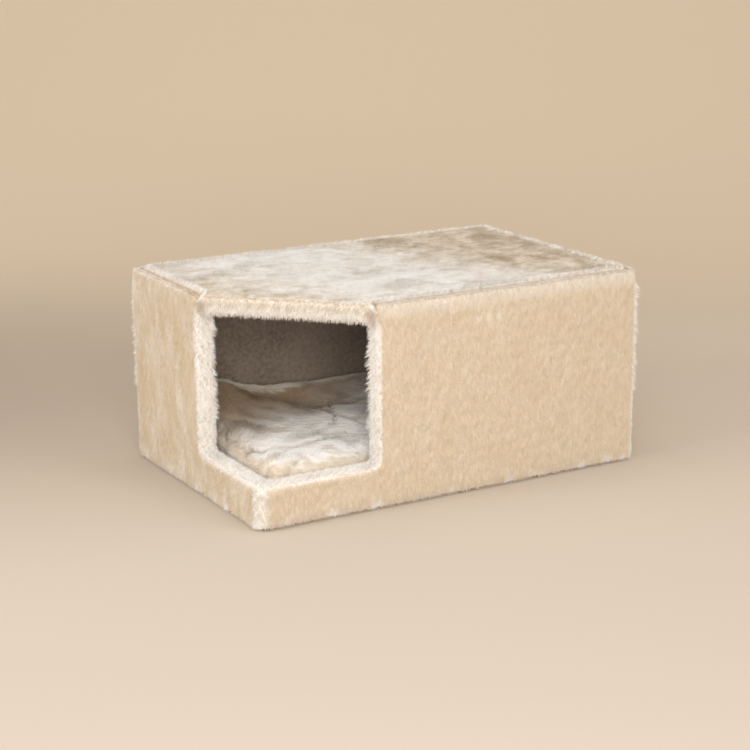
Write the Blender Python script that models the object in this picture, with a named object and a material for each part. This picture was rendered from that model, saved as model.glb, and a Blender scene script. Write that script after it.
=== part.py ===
"""Corner cat house: a plush-covered chipboard box with a cut-off corner as its doorway.

Metres, +Z up. The origin is on the floor under the middle of the house. The long front wall faces -Y
and the doorway is at the -X -Y corner.
"""

import math

import bmesh
import bpy
from mathutils import Matrix, Vector

# Driving dimensions of the house, over the plush
HOUSE_LENGTH = 0.638
HOUSE_DEPTH = 0.418
HOUSE_HEIGHT = 0.300
DOORWAY_LEG = 0.189
SILL_HEIGHT = 0.065

# Materials of the walls
BOARD = 0.016
PLUSH = 0.008
HEM = 0.004
FELT = 0.0025
GAP = 0.0003

# How far the plush is folded over each edge
HEM_WIDTH = 0.030
JAMB_RETURN = 0.035
HEADER_RETURN = 0.050
SEAM_INSET = 0.010
EDGE_RADIUS = 0.007
EDGE_SEGMENTS = 3

# Countersunk wood screw
SCREW_LENGTH = 0.045
SCREW_RADIUS = 0.002
SCREW_TIP = 0.004
HEAD_RADIUS = 0.0039
HEAD_DEPTH = 0.0024
RECESS_ARM = 0.0022
RECESS_WIDTH = 0.0008
RECESS_DEPTH = 0.0014
SCREW_SIDES = 12
SCREW_END_MARGIN = 0.045
PILOT_SPARE = 0.001

# Wire staple
STAPLE_CROWN = 0.012
STAPLE_LEG = 0.010
STAPLE_WIRE_WIDTH = 0.0012
STAPLE_WIRE_THICKNESS = 0.0006
STAPLE_SINK = 0.0005
STAPLE_FROM_FACE = 0.025
STAPLE_END_MARGIN = 0.060
STAPLES_PER_SIDE = 3

# Loose pad
PAD_CLEARANCE = 0.003
PAD_THICKNESS = 0.057
PAD_EDGE_HEIGHT = 0.032
PAD_EDGE_ROLL = 0.055
PAD_CORNER_RADIUS = 0.025
PAD_COVER = 0.006
PAD_BASE_CLOTH = 0.001
PAD_BACK_LIFT = 0.012
PAD_BACK_WIDTH = 0.080
PAD_CORNER_LIFT = 0.038
PAD_CORNER_WIDTH = 0.260
PAD_VALLEY_DEPTH = 0.024
PAD_VALLEY_WIDTH = 0.026
PAD_VALLEY_START = (0.090, 0.008)
PAD_VALLEY_END = (0.310, 0.120)
PAD_CELLS_X = 30
PAD_CELLS_Y = 20

# Worked out: planes of the house, its boards and its cabin
X_LEFT = -HOUSE_LENGTH / 2
X_RIGHT = HOUSE_LENGTH / 2
Y_FRONT = -HOUSE_DEPTH / 2
Y_BACK = HOUSE_DEPTH / 2
BOARD_LEFT = X_LEFT + PLUSH
BOARD_RIGHT = X_RIGHT - PLUSH
BOARD_FRONT = Y_FRONT + PLUSH
BOARD_BACK = Y_BACK - PLUSH
INNER_LEFT = BOARD_LEFT + BOARD
INNER_RIGHT = BOARD_RIGHT - BOARD
INNER_FRONT = BOARD_FRONT + BOARD
INNER_BACK = BOARD_BACK - BOARD
FLOOR = HEM + BOARD
ROOF = HOUSE_HEIGHT - PLUSH
CEILING = ROOF - BOARD
SILL_BOARD = SILL_HEIGHT - PLUSH
JAMB_X = X_LEFT + DOORWAY_LEG
JAMB_Y = Y_FRONT + DOORWAY_LEG
WALL_END_X = JAMB_X + PLUSH
WALL_END_Y = JAMB_Y + PLUSH
CABIN_FLOOR = FLOOR + GAP + FELT + GAP
CABIN_CEILING = CEILING - GAP - FELT - GAP

# How the shapes are made
MITRE = math.tan(math.pi / 8)
SQUARE_ENOUGH = math.radians(60)
REGION_MARGIN = 0.010
REGION_DEPTH = 0.040

TO_FRONT, TO_BACK = (0, -1, 0), (0, 1, 0)
TO_LEFT, TO_RIGHT = (-1, 0, 0), (1, 0, 0)
TO_TOP, TO_FLOOR = (0, 0, 1), (0, 0, -1)

CREAM = (0.80, 0.68, 0.50)
FELT_BROWN = (0.085, 0.067, 0.052)
CHIPBOARD = (0.55, 0.40, 0.24)
CLOTH = (0.62, 0.54, 0.43)
WADDING = (0.85, 0.85, 0.82)
STEEL = (0.60, 0.60, 0.58)


def clear_scene():
    for obj in list(bpy.data.objects):
        bpy.data.objects.remove(obj, do_unlink=True)


def material(name, colour, roughness, metallic=0.0):
    made = bpy.data.materials.new(name)
    made.use_nodes = True
    shader = made.node_tree.nodes["Principled BSDF"]
    shader.inputs["Base Color"].default_value = (*colour, 1.0)
    shader.inputs["Roughness"].default_value = roughness
    shader.inputs["Metallic"].default_value = metallic
    made.diffuse_color = (*colour, 1.0)
    return made


def add_object(name, mesh, surface=None):
    obj = bpy.data.objects.new(name, mesh)
    bpy.context.scene.collection.objects.link(obj)
    if surface is not None:
        mesh.materials.clear()
        mesh.materials.append(surface)
    return obj


def mesh_from(bm, name):
    bmesh.ops.recalc_face_normals(bm, faces=bm.faces)
    mesh = bpy.data.meshes.new(name)
    bm.to_mesh(mesh)
    bm.free()
    return mesh


def add_cutter(name, mesh):
    cutter = add_object(name, mesh)
    cutter.hide_render = True
    cutter.display_type = "WIRE"
    return cutter


def boolean(obj, other, operation):
    modifier = obj.modifiers.new(f"{operation.title()} {other.name}", "BOOLEAN")
    modifier.operation = operation
    modifier.object = other
    modifier.solver = "EXACT"


def add_prism(bm, outline, place, low, high):
    """Adds the prism of a flat outline; place(u, v, w) turns its own three directions into a point."""
    bottom = [bm.verts.new(place(u, v, low)) for u, v in outline]
    top = [bm.verts.new(place(u, v, high)) for u, v in outline]
    bm.faces.new(bottom)
    bm.faces.new(top)
    for i in range(len(outline)):
        j = (i + 1) % len(outline)
        bm.faces.new((bottom[i], bottom[j], top[j], top[i]))


def upright(u, v, w):
    """Outline in plan, thickness along Z."""
    return (u, v, w)


def facing_front(u, v, w):
    """Outline in X and Z, thickness along Y."""
    return (u, w, v)


def facing_side(u, v, w):
    """Outline in Y and Z, thickness along X."""
    return (w, u, v)


def prism_mesh(name, outline, place, low, high):
    bm = bmesh.new()
    add_prism(bm, outline, place, low, high)
    return mesh_from(bm, name)


def rectangle(low_u, low_v, high_u, high_v):
    return [(low_u, low_v), (high_u, low_v), (high_u, high_v), (low_u, high_v)]


def cut_corner_outline(left, front, right, back, cut_sum):
    """A rectangle in plan without its front-left corner, where (x from left) + (y from front) < cut_sum."""
    reach = cut_sum + X_LEFT + Y_FRONT
    return [(reach - front, front), (right, front), (right, back), (left, back), (left, reach - left)]


def make_boards(surface):
    """The six boards. They stand a GAP apart where they meet."""
    wall_low = FLOOR + GAP
    wall_high = CEILING - GAP
    end_front = INNER_FRONT + GAP
    end_back = INNER_BACK - GAP
    long_wall = [
        (BOARD_LEFT, wall_low),
        (BOARD_RIGHT, wall_low),
        (BOARD_RIGHT, wall_high),
        (WALL_END_X, wall_high),
        (WALL_END_X, SILL_BOARD),
        (BOARD_LEFT, SILL_BOARD),
    ]
    left_wall = [
        (end_front, wall_low),
        (end_back, wall_low),
        (end_back, wall_high),
        (WALL_END_Y, wall_high),
        (WALL_END_Y, SILL_BOARD),
        (end_front, SILL_BOARD),
    ]
    plan = rectangle(BOARD_LEFT, BOARD_FRONT, BOARD_RIGHT, BOARD_BACK)
    back_wall = rectangle(BOARD_LEFT, wall_low, BOARD_RIGHT, wall_high)
    right_wall = rectangle(end_front, wall_low, end_back, wall_high)
    top_plan = cut_corner_outline(
        BOARD_LEFT, BOARD_FRONT, BOARD_RIGHT, BOARD_BACK, DOORWAY_LEG + PLUSH * math.sqrt(2)
    )
    shapes = {
        "base_board": (plan, upright, HEM, FLOOR),
        "back_board": (back_wall, facing_front, INNER_BACK, BOARD_BACK),
        "right_end_board": (right_wall, facing_side, INNER_RIGHT, BOARD_RIGHT),
        "left_end_board": (left_wall, facing_side, BOARD_LEFT, INNER_LEFT),
        "front_board": (long_wall, facing_front, BOARD_FRONT, INNER_FRONT),
        "top_board": (top_plan, upright, CEILING, ROOF),
    }
    return {name: add_object(name, prism_mesh(name, *shape), surface) for name, shape in shapes.items()}


def add_turned(bm, profile, sides):
    """Adds a closed turned solid about Z from (radius, z) points; the first and last lie on the axis."""
    rings = []
    for radius, z in profile[1:-1]:
        turns = [2 * math.pi * k / sides for k in range(sides)]
        rings.append([bm.verts.new((radius * math.cos(a), radius * math.sin(a), z)) for a in turns])
    start = bm.verts.new((0, 0, profile[0][1]))
    end = bm.verts.new((0, 0, profile[-1][1]))
    for k in range(sides):
        n = (k + 1) % sides
        bm.faces.new((start, rings[0][n], rings[0][k]))
        bm.faces.new((end, rings[-1][k], rings[-1][n]))
        for lower, upper in zip(rings, rings[1:]):
            bm.faces.new((lower[k], lower[n], upper[n], upper[k]))


def screw_mesh(surface):
    """A screw with its head's face at the origin and its tip towards +Z, with a cross recess."""
    bm = bmesh.new()
    profile = [
        (0, 0),
        (HEAD_RADIUS, 0),
        (SCREW_RADIUS, HEAD_DEPTH),
        (SCREW_RADIUS, SCREW_LENGTH - SCREW_TIP),
        (0, SCREW_LENGTH),
    ]
    add_turned(bm, profile, SCREW_SIDES)
    blank = add_object("screw_blank", mesh_from(bm, "screw_blank"))
    bm = bmesh.new()
    arm, half = RECESS_ARM, RECESS_WIDTH / 2
    cross = [
        (-half, -arm), (half, -arm), (half, -half), (arm, -half), (arm, half), (half, half),
        (half, arm), (-half, arm), (-half, half), (-arm, half), (-arm, -half), (-half, -half),
    ]
    add_prism(bm, cross, upright, -PILOT_SPARE, RECESS_DEPTH)
    recess = add_object("screw_recess", mesh_from(bm, "screw_recess"))
    boolean(blank, recess, "DIFFERENCE")
    evaluated = blank.evaluated_get(bpy.context.evaluated_depsgraph_get())
    mesh = bpy.data.meshes.new_from_object(evaluated)
    mesh.name = "screw"
    for helper in (blank, recess):
        bpy.data.objects.remove(helper, do_unlink=True)
    mesh.materials.clear()
    mesh.materials.append(surface)
    return mesh


def spread(low, high, count):
    """The places of screws or staples along a board, from margin to margin."""
    if count == 1:
        return [(low + high) / 2]
    return [low + (high - low) * k / (count - 1) for k in range(count)]


def screw_places():
    """Every screw as (name, head position, direction, board it holds, board it bites into)."""
    mid_front = (BOARD_FRONT + INNER_FRONT) / 2
    mid_back = (BOARD_BACK + INNER_BACK) / 2
    mid_left = (BOARD_LEFT + INNER_LEFT) / 2
    mid_right = (BOARD_RIGHT + INNER_RIGHT) / 2
    margin = SCREW_END_MARGIN
    along_front = spread(WALL_END_X + margin, INNER_RIGHT - margin, 2)
    along_back = spread(INNER_LEFT + margin, INNER_RIGHT - margin, 2)
    along_left = spread(WALL_END_Y + margin, INNER_BACK - margin, 2)
    along_right = spread(INNER_FRONT + margin, INNER_BACK - margin, 2)
    in_plan = [(x, mid_front, "front_board") for x in along_front]
    in_plan += [(x, mid_back, "back_board") for x in along_back]
    in_plan += [(mid_left, y, "left_end_board") for y in along_left]
    in_plan += [(mid_right, y, "right_end_board") for y in along_right]
    places = []
    for number, (x, y, wall) in enumerate(in_plan, 1):
        places.append((f"base_screw_{number}", (x, y, HEM), (0, 0, 1), "base_board", wall))
        places.append((f"top_screw_{number}", (x, y, ROOF), (0, 0, -1), "top_board", wall))
    heights = spread(FLOOR + margin, CEILING - margin, 2)
    corners = [(mid_left, BOARD_BACK, (0, -1, 0), z, "back_board", "left_end_board") for z in heights]
    corners += [(mid_right, BOARD_BACK, (0, -1, 0), z, "back_board", "right_end_board") for z in heights]
    corners += [(mid_right, BOARD_FRONT, (0, 1, 0), z, "front_board", "right_end_board") for z in heights]
    sill_middle = (FLOOR + SILL_BOARD) / 2
    corners.append((mid_left, BOARD_FRONT, (0, 1, 0), sill_middle, "front_board", "left_end_board"))
    for number, (x, y, direction, z, held, bitten) in enumerate(corners, 1):
        places.append((f"corner_screw_{number}", (x, y, z), direction, held, bitten))
    return places


def pointing(position, direction):
    """The matrix that puts local +Z along the direction at the position."""
    turn = Vector((0, 0, 1)).rotation_difference(Vector(direction)).to_matrix().to_4x4()
    return Matrix.Translation(position) @ turn


def make_screws(boards, surface):
    """The screws, and their countersunk holes and pilots in both boards."""
    mesh = screw_mesh(surface)
    hole = SCREW_RADIUS + GAP
    head = HEAD_RADIUS + GAP
    profile = [
        (0, -PILOT_SPARE),
        (head, -PILOT_SPARE),
        (head, GAP),
        (hole, HEAD_DEPTH + GAP),
        (hole, SCREW_LENGTH + PILOT_SPARE),
        (0, SCREW_LENGTH + PILOT_SPARE),
    ]
    cutters = {name: bmesh.new() for name in boards}
    for name, position, direction, held, bitten in screw_places():
        screw = add_object(name, mesh)
        screw.matrix_world = pointing(position, direction)
        for board in (held, bitten):
            single = bmesh.new()
            add_turned(single, profile, SCREW_SIDES)
            bmesh.ops.transform(single, matrix=pointing(position, direction), verts=single.verts)
            bmesh.ops.recalc_face_normals(single, faces=single.faces)
            piece = bpy.data.meshes.new("single_hole")
            single.to_mesh(piece)
            single.free()
            cutters[board].from_mesh(piece)
            bpy.data.meshes.remove(piece)
    for name, bm in cutters.items():
        cutter = add_cutter(f"{name}_screw_holes", mesh_from(bm, f"{name}_screw_holes"))
        boolean(boards[name], cutter, "DIFFERENCE")


def rounded_key(point):
    return tuple(round(value, 7) for value in point)


def facing(normal, points):
    """The points in the order that makes their face look along the normal."""
    first, second, third = (Vector(point) for point in points[:3])
    looks_along = (second - first).cross(third - second).dot(Vector(normal)) > 0
    return list(points) if looks_along else list(reversed(points))


def thick_sheet_mesh(name, faces, corrected):
    """A closed sheet of plush from (normal, thickness, points on the side next to the board).

    A point's outer twin lies off it by the thickness of every face that meets there, unless corrected
    names its place. The square edges between two outer faces are rounded.
    """
    offsets = {}
    for normal, thickness, points in faces:
        for point in points:
            offsets.setdefault(rounded_key(point), {})[normal] = Vector(normal) * thickness
    bm = bmesh.new()
    inner, outer = {}, {}
    for place, moves in offsets.items():
        moved = Vector(place) + sum(moves.values(), Vector((0, 0, 0)))
        inner[place] = bm.verts.new(place)
        outer[place] = bm.verts.new(corrected.get(place, moved))
    rims = set()
    outer_faces = set()
    for normal, _, points in faces:
        loop = [rounded_key(point) for point in facing(normal, points)]
        bm.faces.new([inner[place] for place in reversed(loop)])
        outer_faces.add(bm.faces.new([outer[place] for place in loop]))
        for a, b in zip(loop, loop[1:] + loop[:1]):
            rims ^= {frozenset(((a, b), (b, a)))}
    for rim in rims:
        a, b = sorted(rim)[0]
        bm.faces.new((inner[a], inner[b], outer[b], outer[a]))
    bmesh.ops.recalc_face_normals(bm, faces=bm.faces)
    square = [
        edge
        for edge in bm.edges
        if set(edge.link_faces) <= outer_faces and edge.calc_face_angle_signed(0) > SQUARE_ENOUGH
    ]
    bmesh.ops.bevel(
        bm,
        geom=square,
        offset=EDGE_RADIUS,
        offset_type="OFFSET",
        segments=EDGE_SEGMENTS,
        profile=0.5,
        affect="EDGES",
        clamp_overlap=True,
    )
    return mesh_from(bm, name)


def on_plane(axis, at, outline):
    """The outline's (u, v) points on the plane where coordinate number axis equals at."""
    points = []
    for u, v in outline:
        point = [u, v]
        point.insert(axis, at)
        points.append(tuple(point))
    return points


def side_cover_mesh():
    """The whole side cover as one ring, with its hem, its folded rim and its doorway flaps."""
    left, right = BOARD_LEFT - GAP, BOARD_RIGHT + GAP
    front, back = BOARD_FRONT - GAP, BOARD_BACK + GAP
    low, high = HEM - GAP, ROOF + GAP
    jamb_x, jamb_y = WALL_END_X - GAP, WALL_END_Y - GAP
    jamb_top = CEILING - 2 * GAP
    sill = SILL_BOARD + GAP
    inside_x, inside_y = INNER_LEFT + GAP, INNER_FRONT + GAP
    return_x, return_y = jamb_x + JAMB_RETURN, jamb_y + JAMB_RETURN
    flap_low = CABIN_FLOOR
    hem_left, hem_right = X_LEFT + HEM_WIDTH, X_RIGHT - HEM_WIDTH
    hem_front, hem_back = Y_FRONT + HEM_WIDTH, Y_BACK - HEM_WIDTH
    seam_left, seam_right = X_LEFT + SEAM_INSET, X_RIGHT - SEAM_INSET
    seam_front, seam_back = Y_FRONT + SEAM_INSET, Y_BACK - SEAM_INSET
    tip_x, tip_y = JAMB_X + (PLUSH - GAP) * MITRE, JAMB_Y + (PLUSH - GAP) * MITRE
    seam_tip_x, seam_tip_y = JAMB_X + SEAM_INSET * MITRE, JAMB_Y + SEAM_INSET * MITRE
    thick, thin = PLUSH - GAP, HEM - GAP
    faces = []

    # Outside of the front and left walls below the ceiling, leaving the doorway open
    for axis, at, normal, start, inside, end, finish in (
        (1, front, TO_FRONT, left, inside_x, jamb_x, right),
        (0, left, TO_LEFT, front, inside_y, jamb_y, back),
    ):
        low_wall = [(start, low), (end, low), (end, sill), (inside, sill), (start, sill)]
        beside_sill = rectangle(end, low, finish, sill)
        above_sill = rectangle(end, sill, finish, jamb_top)
        for outline in (low_wall, beside_sill, above_sill):
            faces.append((normal, thick, on_plane(axis, at, outline)))

    # The same walls beside the top board, mitred to meet the header
    front_band = [(jamb_x, jamb_top), (right, jamb_top), (right, high), (tip_x, high)]
    left_band = [(jamb_y, jamb_top), (back, jamb_top), (back, high), (tip_y, high)]
    faces.append((TO_FRONT, thick, on_plane(1, front, front_band)))
    faces.append((TO_LEFT, thick, on_plane(0, left, left_band)))

    # Outside of the back and right walls
    for z1, z2 in ((low, sill), (sill, jamb_top), (jamb_top, high)):
        faces.append((TO_BACK, thick, on_plane(1, back, rectangle(left, z1, right, z2))))
        faces.append((TO_RIGHT, thick, on_plane(0, right, rectangle(front, z1, back, z2))))

    # Hem folded under the base
    hems = (
        [(left, front), (jamb_x, front), (jamb_x, hem_front), (hem_left, hem_front)],
        [(jamb_x, front), (right, front), (hem_right, hem_front), (jamb_x, hem_front)],
        [(left, front), (left, jamb_y), (hem_left, jamb_y), (hem_left, hem_front)],
        [(left, jamb_y), (left, back), (hem_left, hem_back), (hem_left, jamb_y)],
        [(left, back), (right, back), (hem_right, hem_back), (hem_left, hem_back)],
        [(right, front), (right, back), (hem_right, hem_back), (hem_right, hem_front)],
    )
    faces += [(TO_FLOOR, thin, on_plane(2, low, outline)) for outline in hems]

    # Rim folded over the edge of the top, up to the seam
    rims = (
        [(tip_x, front), (right, front), (seam_right, seam_front), (seam_tip_x, seam_front)],
        [(left, tip_y), (left, back), (seam_left, seam_back), (seam_left, seam_tip_y)],
        [(left, back), (right, back), (seam_right, seam_back), (seam_left, seam_back)],
        [(right, front), (right, back), (seam_right, seam_back), (seam_right, seam_front)],
    )
    faces += [(TO_TOP, thick, on_plane(2, high, outline)) for outline in rims]

    # Jambs, round the end of each tall wall
    faces.append((TO_LEFT, thick, on_plane(0, jamb_x, rectangle(front, sill, inside_y, jamb_top))))
    faces.append((TO_FRONT, thick, on_plane(1, jamb_y, rectangle(left, sill, inside_x, jamb_top))))

    # Sill, over the top of both low walls and their shared corner
    for patch in (
        (left, front, inside_x, inside_y),
        (inside_x, front, jamb_x, inside_y),
        (left, inside_y, inside_x, jamb_y),
    ):
        faces.append((TO_TOP, thick, on_plane(2, sill, rectangle(*patch))))

    # Flaps on the inside of the low walls and of the first stretch of the tall ones
    for start, end, finish, axis, at, normal in (
        (inside_x, jamb_x, return_x, 1, inside_y, TO_BACK),
        (inside_y, jamb_y, return_y, 0, inside_x, TO_RIGHT),
    ):
        inside_sill = rectangle(start, flap_low, end, sill)
        below_jamb = rectangle(end, flap_low, finish, sill)
        behind_jamb = rectangle(end, sill, finish, jamb_top)
        for outline in (inside_sill, below_jamb, behind_jamb):
            faces.append((normal, thick, on_plane(axis, at, outline)))

    corrected = {
        rounded_key((tip_x, front, high)): (JAMB_X, Y_FRONT, HOUSE_HEIGHT),
        rounded_key((left, tip_y, high)): (X_LEFT, JAMB_Y, HOUSE_HEIGHT),
    }
    return thick_sheet_mesh("side_cover", faces, corrected)


def side_regions():
    """The plan outline that each side's panel keeps of the ring, split by a slit along the mitres."""
    slit = GAP / math.sqrt(2)
    left_out, left_in = X_LEFT - REGION_MARGIN, X_LEFT + REGION_DEPTH
    right_out, right_in = X_RIGHT + REGION_MARGIN, X_RIGHT - REGION_DEPTH
    front_out, front_in = Y_FRONT - REGION_MARGIN, Y_FRONT + REGION_DEPTH
    back_out, back_in = Y_BACK + REGION_MARGIN, Y_BACK - REGION_DEPTH
    return {
        "front_plush": [
            (left_out + slit, front_out),
            (right_out - slit, front_out),
            (right_in - slit, front_in),
            (left_in + slit, front_in),
        ],
        "back_plush": [
            (left_in + slit, back_in),
            (right_in - slit, back_in),
            (right_out - slit, back_out),
            (left_out + slit, back_out),
        ],
        "left_plush": [
            (left_out, front_out + slit),
            (left_in, front_in + slit),
            (left_in, back_in - slit),
            (left_out, back_out - slit),
        ],
        "right_plush": [
            (right_in, front_in + slit),
            (right_out, front_out + slit),
            (right_out, back_out - slit),
            (right_in, back_in - slit),
        ],
    }


def make_side_panels(surface):
    mesh = side_cover_mesh()
    panels = {}
    for name, outline in side_regions().items():
        panel = add_object(name, mesh, surface)
        low, high = -REGION_MARGIN, HOUSE_HEIGHT + REGION_MARGIN
        region = add_cutter(f"{name}_region", prism_mesh(f"{name}_region", outline, upright, low, high))
        boolean(panel, region, "INTERSECT")
        panels[name] = panel
    return panels


def header_fold():
    """x from the left face plus y from the front face at the fold of the plush round the header's board."""
    return DOORWAY_LEG + (PLUSH - GAP) * math.sqrt(2)


def header_inner_edge():
    """The same sum where the plush that is folded under the ceiling ends."""
    return header_fold() + HEADER_RETURN


def make_top_plush(surface):
    """The top panel: the flat top, the slanted header and the flap under the ceiling."""
    high = ROOF + GAP
    thick = PLUSH - GAP
    seam = SEAM_INSET + GAP
    right, back, left = X_RIGHT - seam, Y_BACK - seam, X_LEFT + seam
    fold = header_fold()
    clear = 2 * GAP
    beside_jamb = DOORWAY_LEG - GAP
    off_wall = fold - beside_jamb
    to_corner = (-math.sqrt(0.5), -math.sqrt(0.5), 0)

    def both(u, v):
        """A point by its distances along the two faces from the doorway's corner, and its mirror twin."""
        return (X_LEFT + u, Y_FRONT + v), (X_LEFT + v, Y_FRONT + u)

    fold_front, fold_left = both(fold - seam, seam)
    mitre_front, mitre_left = both(DOORWAY_LEG + seam * MITRE - clear, seam)
    flap_front, flap_left = both(beside_jamb, off_wall)
    deep_front, deep_left = both(beside_jamb, header_inner_edge() - beside_jamb)
    end_front, end_left = both(DOORWAY_LEG - clear, clear)

    top = [fold_front, mitre_front, (right, Y_FRONT + seam), (right, back), (left, back), mitre_left]
    top += [fold_left, flap_left, flap_front]
    faces = [(TO_TOP, thick, on_plane(2, high, top))]
    low = CEILING - GAP
    edge = ((fold_front, CEILING), (flap_front, low), (flap_left, low), (fold_left, CEILING))
    for (a, a_low), (b, b_low) in zip(edge, edge[1:]):
        faces.append((to_corner, thick, [(*a, a_low), (*b, b_low), (*b, high), (*a, high)]))
    faces.append((TO_FLOOR, thick, on_plane(2, low, [flap_front, deep_front, deep_left, flap_left])))
    corrected = {
        rounded_key((*fold_front, high)): (*end_front, HOUSE_HEIGHT),
        rounded_key((*fold_left, high)): (*end_left, HOUSE_HEIGHT),
        rounded_key((*fold_front, CEILING)): (*end_front, CEILING),
        rounded_key((*fold_left, CEILING)): (*end_left, CEILING),
    }
    return add_object("top_plush", thick_sheet_mesh("top_plush", faces, corrected), surface)


def make_linings(surface):
    """Felt on the cabin's walls, ceiling and floor. Each butts against its neighbours and the flaps."""
    left, right = INNER_LEFT + GAP, INNER_RIGHT - GAP
    front, back = INNER_FRONT + GAP, INNER_BACK - GAP
    low, high = CABIN_FLOOR, CABIN_CEILING
    wall_back = back - FELT - GAP
    flap_face = PLUSH + BOARD + PLUSH
    front_start = WALL_END_X + JAMB_RETURN
    left_start = WALL_END_Y + JAMB_RETURN
    right_face = right - FELT
    header_edge = header_inner_edge() + GAP
    ceiling = cut_corner_outline(X_LEFT + flap_face, Y_FRONT + flap_face, right, back, header_edge)
    front_wall = rectangle(front_start, low, right_face - GAP, high)
    shapes = {
        "back_lining": (rectangle(left, low, right, high), facing_front, back - FELT, back),
        "right_lining": (rectangle(front, low, wall_back, high), facing_side, right_face, right),
        "front_lining": (front_wall, facing_front, front, front + FELT),
        "left_lining": (rectangle(left_start, low, wall_back, high), facing_side, left, left + FELT),
        "ceiling_lining": (ceiling, upright, CABIN_CEILING + GAP, CEILING - GAP),
        "floor_lining": (rectangle(left, front, right, back), upright, FLOOR + GAP, FLOOR + GAP + FELT),
    }
    for name, shape in shapes.items():
        add_object(name, prism_mesh(name, *shape), surface)


def staple_outline(spare, below):
    """A staple seen from the side, grown by spare all round and reaching below its crown."""
    half = STAPLE_CROWN / 2
    wire = STAPLE_WIRE_THICKNESS
    inside = half - wire - spare
    outside = half + spare
    top = STAPLE_LEG + spare
    return [
        (-outside, -below),
        (outside, -below),
        (outside, top),
        (inside, top),
        (inside, wire + spare),
        (-inside, wire + spare),
        (-inside, top),
        (-outside, top),
    ]


def staple_places():
    """(position, runs along X, panel) of each staple under the hem."""
    inset = STAPLE_FROM_FACE
    margin = STAPLE_END_MARGIN
    along_x = spread(X_LEFT + margin, X_RIGHT - margin, STAPLES_PER_SIDE)
    along_y = spread(Y_FRONT + margin, Y_BACK - margin, STAPLES_PER_SIDE)
    places = [(x, Y_FRONT + inset, True, "front_plush") for x in along_x]
    places += [(x, Y_BACK - inset, True, "back_plush") for x in along_x]
    places += [(X_LEFT + inset, y, False, "left_plush") for y in along_y]
    places += [(X_RIGHT - inset, y, False, "right_plush") for y in along_y]
    return places


def make_staples(panels, base, surface):
    """The staples under the hem, and the cuts that they make in it and in the base."""
    half = STAPLE_WIRE_WIDTH / 2
    mesh = prism_mesh("staple", staple_outline(0, 0), facing_front, -half, half)
    cut_outline = staple_outline(GAP, STAPLE_SINK + REGION_MARGIN)
    cutters = {name: bmesh.new() for name in panels}
    everywhere = bmesh.new()
    for number, (x, y, along_x, panel) in enumerate(staple_places(), 1):
        place = Matrix.Translation((x, y, STAPLE_SINK))
        if not along_x:
            place = place @ Matrix.Rotation(math.pi / 2, 4, "Z")
        staple = add_object(f"staple_{number}", mesh, surface)
        staple.matrix_world = place
        cut = prism_mesh("staple_cut", cut_outline, facing_front, -half - GAP, half + GAP)
        cut.transform(place)
        cutters[panel].from_mesh(cut)
        everywhere.from_mesh(cut)
        bpy.data.meshes.remove(cut)
    for name, bm in cutters.items():
        boolean(panels[name], add_cutter(f"{name}_staple_cuts", mesh_from(bm, "staple_cuts")), "DIFFERENCE")
    boolean(base, add_cutter("base_staple_cuts", mesh_from(everywhere, "staple_cuts")), "DIFFERENCE")


def smooth_step(value):
    value = min(max(value, 0.0), 1.0)
    return value * value * (3 - 2 * value)


class PadForm:
    """The loose pad's outline in plan and the height of its top."""

    def __init__(self):
        flap_face = PLUSH + BOARD + PLUSH
        lined_face = PLUSH + BOARD + GAP + FELT
        self.left = X_LEFT + flap_face + PAD_CLEARANCE
        self.right = X_RIGHT - lined_face - PAD_CLEARANCE
        self.front = Y_FRONT + flap_face + PAD_CLEARANCE
        self.back = Y_BACK - lined_face - PAD_CLEARANCE

    def place(self, across, along, inset):
        """The plan point at fractions -1 to 1 of the pad, pulled in at its round corners."""
        half = [(self.right - self.left) / 2 - inset, (self.back - self.front) / 2 - inset]
        middle = ((self.right + self.left) / 2, (self.back + self.front) / 2)
        radius = PAD_CORNER_RADIUS - inset
        beyond = [abs(f) * h - (h - radius) for f, h in zip((across, along), half)]
        a, b = (max(value, 0.0) / radius for value in beyond)
        bent = (a * math.sqrt(1 - b * b / 2), b * math.sqrt(1 - a * a / 2))
        point = []
        for fraction, h, over, pulled, centre in zip((across, along), half, beyond, bent, middle):
            reach = h - radius + radius * pulled if over > 0 else abs(fraction) * h
            point.append(centre + math.copysign(reach, fraction))
        return tuple(point)

    def from_edge(self, x, y):
        """The distance from a plan point to the pad's outline, but for its back, which stays curled up."""
        radius = PAD_CORNER_RADIUS
        over_x = abs(x - (self.right + self.left) / 2) - ((self.right - self.left) / 2 - radius)
        over_y = self.front + radius - y
        outside = math.hypot(max(over_x, 0.0), max(over_y, 0.0))
        return radius - outside - min(max(over_x, over_y), 0.0)

    def valley(self, x, y):
        """How far the top sinks behind the slanting fold: most half-way along it, nothing at its ends."""
        start = Vector((self.left + PAD_VALLEY_START[0], self.back - PAD_VALLEY_START[1]))
        end = Vector((self.left + PAD_VALLEY_END[0], self.back - PAD_VALLEY_END[1]))
        along = end - start
        share = min(max((Vector((x, y)) - start).dot(along) / along.length_squared, 0.0), 1.0)
        off = (Vector((x, y)) - start - share * along).length
        return PAD_VALLEY_DEPTH * math.sin(math.pi * share) * math.exp(-((off / PAD_VALLEY_WIDTH) ** 2))

    def height(self, x, y):
        share = min(max(self.from_edge(x, y) / PAD_EDGE_ROLL, 0.0), 1.0)
        crown = math.sqrt(1 - (1 - share) ** 2)
        top = CABIN_FLOOR + PAD_EDGE_HEIGHT + (PAD_THICKNESS - PAD_EDGE_HEIGHT) * crown
        top += PAD_BACK_LIFT * smooth_step(1 - (self.back - y) / PAD_BACK_WIDTH)
        to_corner = math.hypot(x - self.left, self.back - y)
        top += PAD_CORNER_LIFT * smooth_step(1 - to_corner / PAD_CORNER_WIDTH)
        return top - self.valley(x, y)


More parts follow.
